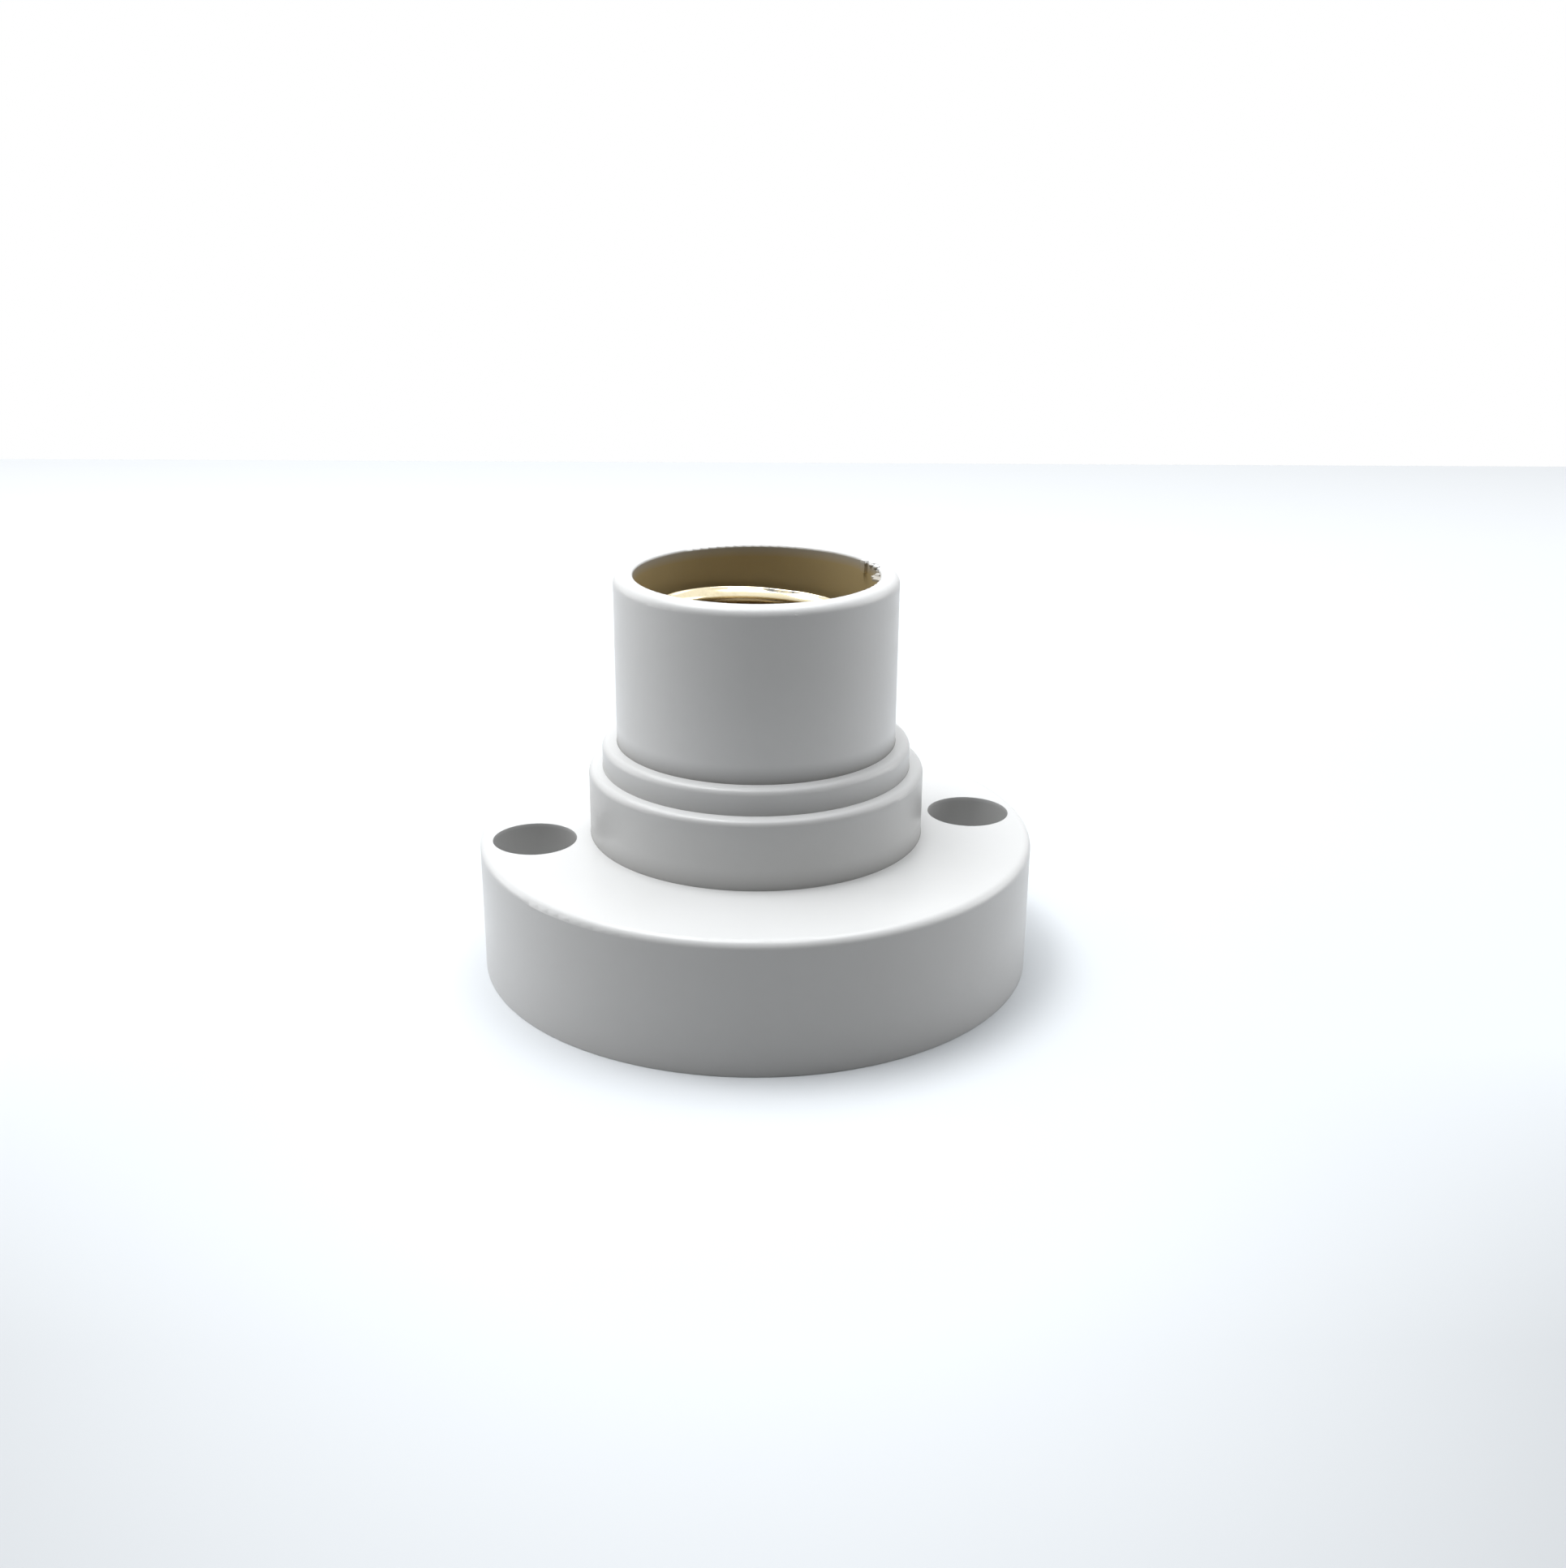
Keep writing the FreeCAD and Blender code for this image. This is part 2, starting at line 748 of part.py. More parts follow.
def build_leaf(doc):
    """Hairpin leaf of spring bronze that pushes the contact button up."""
    body = new_body(doc, "centre_contact_spring")
    root = "collar_height-wall"
    path = leaf_path(body)
    body.Document.recompute()
    section = add_sketch(body, "leaf_section", "YZ_Plane", height="-leaf_root")
    add_rectangle(section, "-leaf_width/2", "leaf_width/2", root, f"{root}+leaf")
    sweep = body.newObject("PartDesign::AdditivePipe", "leaf_swept")
    sweep.Profile = section
    sweep.Spine = (path, [f"Edge{i + 1}" for i in range(5)])
    sweep.Transition = "Round corner"
    sweep.Mode = "Standard"
    finished(sweep)
    fixing = add_sketch(body, "leaf_rivet_outline", height=root)
    add_circle(fixing, "-line_rivet_offset", "0", "rivet_radius")
    pocket(body, "leaf_rivet_hole", fixing, "leaf")
    seat = add_sketch(body, "button_hole_outline", height="pad_middle-leaf")
    add_circle(seat, "0", "0", "button_shank_radius+running_gap")
    pocket(body, "button_hole", seat, "2*leaf")
    return body


def build_button(doc):
    """Contact rivet in the leaf's pad, which meets the lamp's end contact."""
    body = new_body(doc, "contact_button")
    above = "pad_middle+leaf/2"
    below = "pad_middle-leaf/2"
    turned = revolve(
        body,
        "button_turned",
        [
            ("0", f"{below}-button_tail_height"),
            ("button_tail_radius", f"{below}-button_tail_height"),
            ("button_tail_radius", below),
            ("button_shank_radius", below),
            ("button_shank_radius", above),
            ("button_radius", above),
            ("button_radius", f"{above}+button_height"),
            ("0", f"{above}+button_height"),
        ],
    )
    edge = [("button_radius", f"{above}+button_height")]
    round_circles(body, "button_edge", turned, edge, "button_edge_round")
    return body


# --------------------------------------------------------------- terminals


def terminal(doc, label, side, foot_end):
    """A bent strip: foot under the deck, riser, and a plate under the pillar."""
    body = new_body(doc, label)
    inner = f"{side}*(terminal_offset-pillar_length/2)"
    riser = f"{side}*(terminal_offset-pillar_length/2-strip)"
    end = f"{side}*(terminal_offset+pillar_length/2)"
    outline = add_sketch(body, "plate_outline", "XZ_Plane")
    add_polygon(
        outline,
        [
            (riser, "deck_bottom"),
            (inner, "deck_bottom"),
            (inner, "pillar_bottom"),
            (end, "pillar_bottom"),
            (end, "pillar_bottom-strip"),
            (riser, "pillar_bottom-strip"),
        ],
    )
    plate = pad_across(body, "plate", outline, "strip_width")
    bend = cross_edges(
        plate.Shape, value(body, riser), value(body, "pillar_bottom-strip")
    )
    round_over(body, "plate_bend", plate, bend, "bend_round")
    foot = add_sketch(body, "foot_outline", "XZ_Plane")
    add_rectangle(foot, foot_end, inner, "deck_bottom-strip", "deck_bottom")
    pad_across(body, "foot", foot, "foot_width")
    tapped = add_sketch(body, "tapped_outline", height="pillar_bottom-strip")
    add_circle(tapped, f"{side}*terminal_offset", "0", "clamp_screw_radius+running_gap")
    pocket(body, "tapped_hole", tapped, "strip")
    return body


def rivet_hole_in_foot(body, place):
    """The hole in a terminal's foot that its rivet goes through."""
    hole = add_sketch(body, "foot_hole_outline", height="deck_bottom-strip")
    add_circle(hole, place, "0", "rivet_radius")
    pocket(body, "foot_hole", hole, "strip")


def build_line_terminal(doc):
    """The strip from the centre contact's rivet to its clamp."""
    body = terminal(doc, "line_terminal", "-1", "-line_rivet_offset+foot_past_rivet")
    rivet_hole_in_foot(body, "-line_rivet_offset")
    return body


def build_neutral_terminal(doc):
    """The strip from the shell's rivet to its clamp."""
    body = terminal(doc, "neutral_terminal", "1", "neutral_rivet_offset-foot_past_rivet")
    rivet_hole_in_foot(body, "neutral_rivet_offset")
    return body


def clamp_screw(doc, label, side):
    """A cheese-head screw, head down, with a driver slot."""
    body = new_body(doc, label)
    seat = "pillar_bottom-strip-washer"
    head = f"{seat}-clamp_head_height"
    turned = revolve(
        body,
        "screw_turned",
        [
            ("0", head),
            ("clamp_head_radius", head),
            ("clamp_head_radius", seat),
            ("clamp_screw_radius", seat),
            ("clamp_screw_radius", "clamp_shank_top-running_gap*10"),
            ("clamp_screw_radius*0.7", "clamp_shank_top"),
            ("0", "clamp_shank_top"),
        ],
    )
    edge = [("clamp_head_radius", head)]
    round_circles(body, "head_edge", turned, edge, "driver_slot_width/2")
    slot = add_sketch(body, "driver_slot_outline", height=head)
    add_rectangle(
        slot,
        "-2*clamp_head_radius",
        "2*clamp_head_radius",
        "-driver_slot_width/2",
        "driver_slot_width/2",
    )
    pocket(body, "driver_slot", slot, "driver_slot_depth")
    body.setExpression("Placement.Base.x", bound(f"{side}*terminal_offset"))
    return body


def clamp_washer(doc, label, side):
    """A square clamp plate whose two lips run beside the strip and keep it from turning."""
    body = new_body(doc, label)
    low = "pillar_bottom-strip-washer"
    edge = "strip_width/2+running_gap"
    outline = add_sketch(body, "washer_outline", "YZ_Plane")
    lip_top = f"{low}+washer+washer_lip"
    add_polygon(
        outline,
        [
            (f"-({edge}+washer_lip_thickness)", low),
            (f"{edge}+washer_lip_thickness", low),
            (f"{edge}+washer_lip_thickness", lip_top),
            (edge, lip_top),
            (edge, f"{low}+washer"),
            (f"-({edge})", f"{low}+washer"),
            (f"-({edge})", lip_top),
            (f"-({edge}+washer_lip_thickness)", lip_top),
        ],
    )
    pad_across(body, "washer_plate", outline, "2*washer_half_length")
    hole = add_sketch(body, "washer_hole_outline", height=low)
    add_circle(hole, "0", "0", "clamp_screw_radius+running_gap")
    pocket(body, "washer_hole", hole, "washer")
    body.setExpression("Placement.Base.x", bound(f"{side}*terminal_offset"))
    return body


def build_block_screws(doc):
    """The two self-tapping screws that hold the block in the housing."""
    body = new_body(doc, "block_screw")
    head = "block_bottom-tapping_head_height"
    turned = revolve(
        body,
        "screw_turned",
        [
            ("0", head),
            ("tapping_head_radius", head),
            ("tapping_head_radius", "block_bottom"),
            ("pilot_radius", "block_bottom"),
            ("pilot_radius", "pilot_top-pilot_radius"),
            ("pilot_radius*0.3", "pilot_top"),
            ("0", "pilot_top"),
        ],
    )
    edge = [("tapping_head_radius", head)]
    round_circles(body, "head_edge", turned, edge, "tapping_head_round")
    long_way, short_way = "recess_length/2", "recess_width/2"
    for name, across, up in (
        ("recess_along", long_way, short_way),
        ("recess_across", short_way, long_way),
    ):
        recess = add_sketch(body, name + "_outline", height=head)
        add_rectangle(recess, f"-{across}", across, f"-{up}", up)
        pocket(body, name, recess, "recess_depth")
    body.setExpression("Placement.Base.y", bound("boss_offset"))
    return both_sides(doc, "block_screws", body, V(0, 1, 0))


def build_all(doc):
    """Every sub-part, in the order in which the holder is put together."""
    return [
        build_housing(doc),
        build_contact_block(doc),
        build_block_screws(doc),
        build_screw_shell(doc),
        build_shell_rivets(doc),
        build_leaf(doc),
        build_button(doc),
        build_line_terminal(doc),
        build_line_rivet(doc),
        build_neutral_terminal(doc),
        build_neutral_rivet(doc),
        clamp_screw(doc, "line_screw", "-1"),
        clamp_washer(doc, "line_washer", "-1"),
        clamp_screw(doc, "neutral_screw", "1"),
        clamp_washer(doc, "neutral_washer", "1"),
    ]


def faults(doc, parts):
    """What did not come out sound, in words."""
    found = [
        f"{thing.Label} is {thing.State}"
        for thing in doc.Objects
        if "Invalid" in thing.State or "Error" in thing.State
    ]
    for part in parts:
        if part.Shape.isNull() or not part.Shape.isValid():
            found.append(f"{part.Label} has no sound shape")
    return found


def main():
    """Build the document, test it and write each sub-part to its own file."""
    os.makedirs("parts", exist_ok=True)
    doc = FreeCAD.newDocument("lamp_holder")
    build_sheet(doc)
    parts = build_all(doc)
    doc.recompute()
    found = faults(doc, parts)
    if found:
        raise RuntimeError("; ".join(found))
    for part in parts:
        part.Shape.exportStep(f"parts/{part.Label}.step")
        solids = len(part.Shape.Solids)
        print(f"{part.Label}: {solids} solids, {part.Shape.Volume:.1f} cubic mm")


main()
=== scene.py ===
"""Finishes, rolled and cut pieces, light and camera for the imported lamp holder."""

import math
from collections import namedtuple

import bmesh
import bpy
from mathutils import Matrix, Vector
from mathutils.noise import noise as noise_value


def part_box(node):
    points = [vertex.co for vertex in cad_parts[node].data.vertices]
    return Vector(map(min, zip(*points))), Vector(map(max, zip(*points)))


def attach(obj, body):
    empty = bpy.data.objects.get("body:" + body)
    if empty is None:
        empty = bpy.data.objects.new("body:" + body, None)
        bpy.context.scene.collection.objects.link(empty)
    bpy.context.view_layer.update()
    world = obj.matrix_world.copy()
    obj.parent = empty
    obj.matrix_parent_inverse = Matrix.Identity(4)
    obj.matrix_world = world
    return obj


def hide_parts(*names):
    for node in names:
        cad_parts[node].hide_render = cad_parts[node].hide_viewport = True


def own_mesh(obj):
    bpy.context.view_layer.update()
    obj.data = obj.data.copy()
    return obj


bl_info = {
    "name": "Lamp Holder Dressing",
    "version": (1, 0, 0),
    "blender": (4, 5, 0),
    "location": "3D View > Sidebar > Lamp Holder",
    "description": "Gives the packed lamp holder its finishes, rolled thread, screws, light and camera",
    "category": "Object",
}

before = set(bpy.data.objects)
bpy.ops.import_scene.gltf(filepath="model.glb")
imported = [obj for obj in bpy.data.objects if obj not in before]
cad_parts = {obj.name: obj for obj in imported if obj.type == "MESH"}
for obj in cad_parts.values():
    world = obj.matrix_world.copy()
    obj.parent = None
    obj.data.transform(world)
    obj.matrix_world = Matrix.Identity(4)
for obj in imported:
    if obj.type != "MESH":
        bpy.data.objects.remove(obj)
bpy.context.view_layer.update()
MM = 0.001

SHELL_LOW, SHELL_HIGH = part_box("screw_shell")
LEAF_LOW, LEAF_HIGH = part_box("centre_contact_spring")
HOUSING_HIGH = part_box("housing")[1]


def length(name, default, description):
    """A length property in metres."""
    return bpy.props.FloatProperty(
        name=name, description=description, default=default, unit="LENGTH", precision=5
    )


def angle(name, degrees, description):
    """An angle property, given in degrees."""
    return bpy.props.FloatProperty(
        name=name, description=description, default=math.radians(degrees), subtype="ANGLE"
    )


def colour(name, default, description):
    """A linear colour property."""
    return bpy.props.FloatVectorProperty(
        name=name, description=description, default=default, size=3,
        subtype="COLOR", min=0.0, max=1.0,
    )


class ShellSizes(bpy.types.PropertyGroup):
    """Sizes of the rolled screw shell"""

    sheet: length("Sheet", 0.45 * MM, "Thickness of the brass sheet")
    crest: length("Crest radius", 12.2 * MM, "Inner face of the shell at a crest")
    root: length("Root radius", 13.3 * MM, "Inner face of the shell at a root")
    pitch: length("Pitch", 3.629 * MM, "Axial distance from turn to turn")
    lead_in: length("Lead in", 0.5 * MM, "Height over which the thread runs out under the lip")
    lip_slant: length("Lip slant", 0.75 * MM, "How far the lip's high side stands over its middle")
    lip_slant_turn: angle("Lip slant turn", 195.0, "Where round the axis the lip is highest")
    dent: length("Dent", 0.25 * MM, "How far the lip is knocked in at its dent")
    dent_turn: angle("Dent turn", 64.0, "Where round the axis the dent lies")
    dent_width: angle("Dent width", 15.0, "Half the dent's width round the axis")
    plain_foot: length("Plain foot", 6.0 * MM, "Height of the plain cup below the thread")
    run_in: length("Run in", 1.8 * MM, "Height over which the thread starts above the foot")
    corner: length("Corner", 1.0 * MM, "Rounding between the cup's wall and floor")
    floor_hole: length("Floor hole", 9.8 * MM, "Radius of the hole in the cup's floor")
    crest_turn: angle("Crest turn", 80.0, "Where round the axis a crest stands at crest_depth")
    crest_depth: length("Crest depth", 1.62 * MM, "Depth of that crest under the lip's middle")


class FinishSizes(bpy.types.PropertyGroup):
    """Colours of the holder's plastics and metals"""

    white: colour("White", (0.857, 0.862, 0.862), "Housing plastic")
    white_deep: colour("White shade", (0.78, 0.782, 0.765), "Housing plastic where it is dulled")
    # painted shade: the colour the housing's walls are darkened towards over their inner corners
    painted_corner_shade: colour("Dust", (0.31, 0.305, 0.295), "Dust in the housing's inner corners")
    # painted shade inside the bore, just under the rim
    bore_painted_shade: colour("Bore", (0.50, 0.485, 0.46), "Bore just under the rim")
    # painted shade deeper in the bore, brown for the warm light the brass shell throws onto it
    bore_painted_brown_shade: colour("Browned bore", (0.52, 0.41, 0.215), "Bore where the lamp's heat has browned it")
    # painted shade inside the fixing wells
    well_painted_shade: colour("Well", (0.64, 0.64, 0.635), "Dulled plastic inside the fixing wells")
    block: colour("Block", (0.62, 0.61, 0.57), "Contact block plastic")
    brass: colour("Brass", (0.95, 0.85, 0.60), "Rolled brass sheet")
    brass_dull: colour("Dull brass", (0.52, 0.36, 0.16), "Brass where it is stained")
    # tarnish and painted shade: the brass deep in the shell is darkened for the dark it reflects there
    tarnish_and_shade: colour("Tarnish", (0.20, 0.14, 0.065), "Brass deep in the shell")
    # painted shade and reflection: a grey streak on the shell's lip
    painted_reflection: colour("Smudge", (0.16, 0.165, 0.175), "Grey mark on the shell's lip")
    rivet: colour("Rivet brass", (0.80, 0.60, 0.30), "Rivets")
    bronze: colour("Bronze", (0.72, 0.47, 0.26), "Spring bronze")
    nickel: colour("Nickel", (0.70, 0.67, 0.60), "Nickel plate")
    zinc: colour("Zinc", (0.62, 0.64, 0.67), "Zinc plate")
    zinc_dull: colour("Dull zinc", (0.35, 0.36, 0.33), "Zinc plate where it is stained")


SENSOR_WIDTH = 36.0  # in millimetres, as Blender keeps it


class StageSizes(bpy.types.PropertyGroup):
    """Place, direction and lens of the camera"""

    distance: length("Distance", 229.65 * MM, "From the holder's axis to the camera, level")
    height: length("Height", 109.82 * MM, "Camera height over the floor")
    turn: angle("Turn", -10.0, "Camera position round the holder")
    pitch: angle("Pitch", 20.408, "How far the camera looks down")
    yaw: angle("Yaw", 0.928, "How far the camera looks past the axis, to the right")
    roll: angle("Roll", 0.447, "Camera roll")
    focal: bpy.props.FloatProperty(
        name="Focal length", description="Lens for a sensor 36 mm wide", default=40.724,
        unit="CAMERA",
    )


class TableSizes(bpy.types.PropertyGroup):
    """Colours of the table top"""

    tone: colour("Table", (0.855, 0.885, 0.915), "Table top")
    tone_light: colour("Light patches", (0.875, 0.905, 0.935), "Table top where it is lightest")
    # painted shade on the table's near corners
    tone_near_painted_shade: colour("Near corners", (0.66, 0.68, 0.70), "Table top outside the lamps' reach")
    # painted light on the table's far edge
    tone_far_painted_light: colour("Far edge", (0.93, 0.95, 0.97), "Table top close under the white wall")


SHOWN_SIZES = (
    ("holder_shell", ShellSizes),
    ("holder_finish", FinishSizes),
    ("holder_stage", StageSizes),
    ("holder_table", TableSizes),
)

# ------------------------------------------------------------------ mesh help


def new_piece(name, verts, faces, material, smooth=True):
    """A mesh object in the row frame, with one material."""
    mesh = bpy.data.meshes.new(name)
    mesh.from_pydata(verts, [], faces)
    mesh.validate()
    mesh.materials.append(material)
    piece = bpy.data.objects.new(name, mesh)
    bpy.context.scene.collection.objects.link(piece)
    if smooth:
        mesh.shade_smooth()
    return piece


def tidy_mesh(piece):
    """Merge doubled points and point the faces outward."""
    merge = 0.001 * MM
    work = bmesh.new()
    work.from_mesh(piece.data)
    bmesh.ops.remove_doubles(work, verts=work.verts, dist=merge)
    bmesh.ops.recalc_face_normals(work, faces=work.faces)
    work.to_mesh(piece.data)
    work.free()
    return piece


def shade_by_angle(piece, degrees):
    """Smooth shading, with edges sharper than an angle kept sharp."""
    piece.data.shade_smooth()
    piece.data.set_sharp_from_angle(angle=math.radians(degrees))


def lathe(section, segments, place):
    """A closed section swept round an axis; place turns an entry and a turn into a point."""
    count = len(section)
    verts = []
    for step in range(segments):
        turn = math.tau * step / segments
        verts += [place(kind, given, turn) for kind, given in section]
    faces = []
    for step in range(segments):
        here, there = step * count, (step + 1) % segments * count
        for i in range(count):
            j = (i + 1) % count
            faces.append((here + i, there + i, there + j, here + j))
    return verts, faces


def around_axis(r, z, turn):
    """A point of the row frame from its distance to the axis, its height and its turn."""
    return (r * math.cos(turn), r * math.sin(turn), z)


def quarter(centre, radius, first, last, steps=6):
    """Points of an arc in the (r, z) plane, angles in degrees."""
    out = []
    for i in range(steps + 1):
        a = math.radians(first + (last - first) * i / steps)
        out.append((centre[0] + radius * math.cos(a), centre[1] + radius * math.sin(a)))
    return out


def ease(t):
    """A smooth step from 0 to 1."""
    t = min(1.0, max(0.0, t))
    return t * t * (3 - 2 * t)


def cut_away(piece, outline, low, high):
    """Cut an upright prism with this outline out of a piece."""
    count = len(outline)
    verts = [(x, y, low) for x, y in outline] + [(x, y, high) for x, y in outline]
    faces = [tuple(reversed(range(count))), tuple(range(count, 2 * count))]
    for i in range(count):
        j = (i + 1) % count
        faces.append((i, j, count + j, count + i))
    tool = new_piece(piece.name + "_cutter", verts, faces, piece.data.materials[0], smooth=False)
    tidy_mesh(tool)
    work = piece.modifiers.new("cut", "BOOLEAN")
    work.operation = "DIFFERENCE"
    work.solver = "EXACT"
    work.object = tool
    bpy.context.view_layer.update()
    seen = piece.evaluated_get(bpy.context.evaluated_depsgraph_get())
    done = bpy.data.meshes.new_from_object(seen)
    piece.modifiers.clear()
    piece.data = done
    bpy.data.objects.remove(tool)
    return piece


# ------------------------------------------------------------ shader groups


def start_group(name, inputs, outputs):
    """A new shader node group with these sockets, and its two end nodes."""
    tree = bpy.data.node_groups.new(name, "ShaderNodeTree")
    for label, kind, default in inputs:
        socket = tree.interface.new_socket(label, in_out="INPUT", socket_type=kind)
        socket.default_value = default
    for label, kind in outputs:
        tree.interface.new_socket(label, in_out="OUTPUT", socket_type=kind)
    ends = tree.nodes.new("NodeGroupInput"), tree.nodes.new("NodeGroupOutput")
    return tree, ends[0], ends[1]


def node(tree, kind, settings=(), **inputs):
    """A node with its settings; inputs, named or numbered as i0, i1, take values or sockets."""
    made = tree.nodes.new(kind)
    for key, setting in dict(settings).items():
        setattr(made, key, setting)
    for key, given in inputs.items():
        numbered = key[1:].isdigit()
        socket = made.inputs[int(key[1:]) if numbered else key.replace("_", " ")]
        if isinstance(given, bpy.types.NodeSocket):
            tree.links.new(given, socket)
        else:
            socket.default_value = given
    return made


def maths(tree, operation, first, second=0.0, clamp=False):
    """The result of a Math node."""
    settings = {"operation": operation, "use_clamp": clamp}
    return node(tree, "ShaderNodeMath", settings, i0=first, i1=second).outputs[0]


def times(tree, first, second):
    """A product."""
    return maths(tree, "MULTIPLY", first, second)


def plus(tree, first, second, clamp=False):
    """A sum."""
    return maths(tree, "ADD", first, second, clamp)


def minus(tree, first, second, clamp=False):
    """A difference."""
    return maths(tree, "SUBTRACT", first, second, clamp)


def hypotenuse(tree, first, second):
    """The length of two sides at a right angle."""
    squares = plus(tree, maths(tree, "POWER", first, 2.0), maths(tree, "POWER", second, 2.0))
    return maths(tree, "SQRT", squares)


def vector_maths(tree, operation, **inputs):
    """A Vector Math node."""
    return node(tree, "ShaderNodeVectorMath", {"operation": operation}, **inputs)


def blend_colours(tree, share, first, second):
    """A mix of two colours."""
    # of the Mix node's sockets, inputs 6 and 7 and output 2 are its colours
    made = node(tree, "ShaderNodeMix", {"data_type": "RGBA"}, i0=share, i6=first, i7=second)
    return made.outputs[2]


def noise(tree, vector, scale, detail=3.0, roughness=0.5):
    """The value of a noise texture."""
    made = node(
        tree, "ShaderNodeTexNoise", Vector=vector, Scale=scale, Detail=detail, Roughness=roughness
    )
    return made.outputs["Fac"]


def remap(tree, given, low, high, to_low=0.0, to_high=1.0):
    """A clamped linear change of range."""
    made = node(tree, "ShaderNodeMapRange", i0=given, i1=low, i2=high, i3=to_low, i4=to_high)
    return made.outputs[0]


SKIN_OUTPUTS = (
    ("Colour", "NodeSocketColor"),
    ("Roughness", "NodeSocketFloat"),
    ("Height", "NodeSocketFloat"),
)


def moulded_skin_group():
    """Moulded plastic: flow marks, a fine orange peel, tiny pits and faint rub marks."""
    tree, have, give = start_group(
        "moulded_skin",
        [
            ("Colour", "NodeSocketColor", (0.8, 0.8, 0.8, 1)),
            ("Shade", "NodeSocketColor", (0.7, 0.7, 0.7, 1)),
            ("Shade Amount", "NodeSocketFloat", 0.2),
            ("Roughness", "NodeSocketFloat", 0.3),
            ("Rub", "NodeSocketFloat", 0.1),
            ("Grain Scale", "NodeSocketFloat", 900.0),
        ],
        SKIN_OUTPUTS,
    )
    place = node(tree, "ShaderNodeTexCoord").outputs["Object"]
    flow = noise(tree, place, scale=38.0, detail=4.0, roughness=0.55)
    cloud = noise(tree, place, scale=110.0, detail=3.0, roughness=0.6)
    peel = noise(tree, place, scale=have.outputs["Grain Scale"], detail=2.0, roughness=0.4)
    pit = node(tree, "ShaderNodeTexVoronoi", Vector=place, Scale=420.0).outputs["Distance"]
    pits = remap(tree, pit, 0.0, 0.09, 1.0, 0.0)
    stretched = node(tree, "ShaderNodeMapping", Vector=place, Scale=(60.0, 60.0, 900.0))
    rub = noise(tree, stretched.outputs[0], scale=1.0, detail=5.0, roughness=0.65)
    rubs = remap(tree, rub, 0.56, 0.72)
    amount = have.outputs["Shade Amount"]
    share = times(tree, remap(tree, flow, 0.35, 0.7), amount)
    speck = times(tree, pits, 0.25)
    share = plus(tree, share, times(tree, speck, amount), clamp=True)
    tone = blend_colours(tree, share, have.outputs["Colour"], have.outputs["Shade"])
    rough = plus(tree, have.outputs["Roughness"], remap(tree, cloud, 0.3, 0.7, -0.04, 0.05))
    rough = plus(tree, rough, times(tree, rubs, have.outputs["Rub"]), clamp=True)
    height = plus(tree, times(tree, peel, 0.35), times(tree, flow, 0.5))
    height = minus(tree, height, times(tree, pits, 0.12))
    tree.links.new(tone, give.inputs["Colour"])
    tree.links.new(rough, give.inputs["Roughness"])
    tree.links.new(height, give.inputs["Height"])
    return tree


def ring_shade_group():
    """Masks round an upright axis: painted shade on a wall over its inner corner, and depth inside a
    hole.
    """
    tree, have, give = start_group(
        "ring_shade",
        [
            ("Centre", "NodeSocketVector", (0.0, 0.0, 0.0)),
            ("Radius", "NodeSocketFloat", 0.02),
            ("Height", "NodeSocketFloat", 0.02),
            ("Reach", "NodeSocketFloat", 0.002),
            ("Wall", "NodeSocketFloat", 0.01),
        ],
        [("Corner", "NodeSocketFloat"), ("Inside", "NodeSocketFloat")],
    )
    place = node(tree, "ShaderNodeTexCoord").outputs["Object"]
    parts = node(tree, "ShaderNodeSeparateXYZ", i0=place)
    off = vector_maths(tree, "SUBTRACT", i0=place, i1=have.outputs["Centre"]).outputs[0]
    flat = vector_maths(tree, "MULTIPLY", i0=off, i1=(1, 1, 0)).outputs[0]
    out = vector_maths(tree, "LENGTH", i0=flat).outputs["Value"]
    across = minus(tree, out, have.outputs["Radius"])
    above = minus(tree, parts.outputs["Z"], have.outputs["Height"])
    gap = hypotenuse(tree, across, above)
    share = maths(tree, "DIVIDE", gap, have.outputs["Reach"])
    near = maths(tree, "POWER", minus(tree, 1.0, share, clamp=True), 1.6)
    # the painted shade stays on the wall and under its rounded top edge
    on_wall = maths(tree, "LESS_THAN", across, 0.05 * MM)
    hug = times(tree, remap(tree, across, -0.9 * MM, -0.1 * MM), on_wall)
    fall = remap(tree, minus(tree, have.outputs["Wall"], above), 0.0, 0.6 * MM)
    near = times(tree, near, times(tree, hug, fall))
    deep = maths(tree, "DIVIDE", times(tree, above, -1.0), have.outputs["Reach"], clamp=True)
    inner = maths(tree, "LESS_THAN", out, have.outputs["Radius"])
    tree.links.new(near, give.inputs["Corner"])
    tree.links.new(times(tree, deep, inner), give.inputs["Inside"])
    return tree


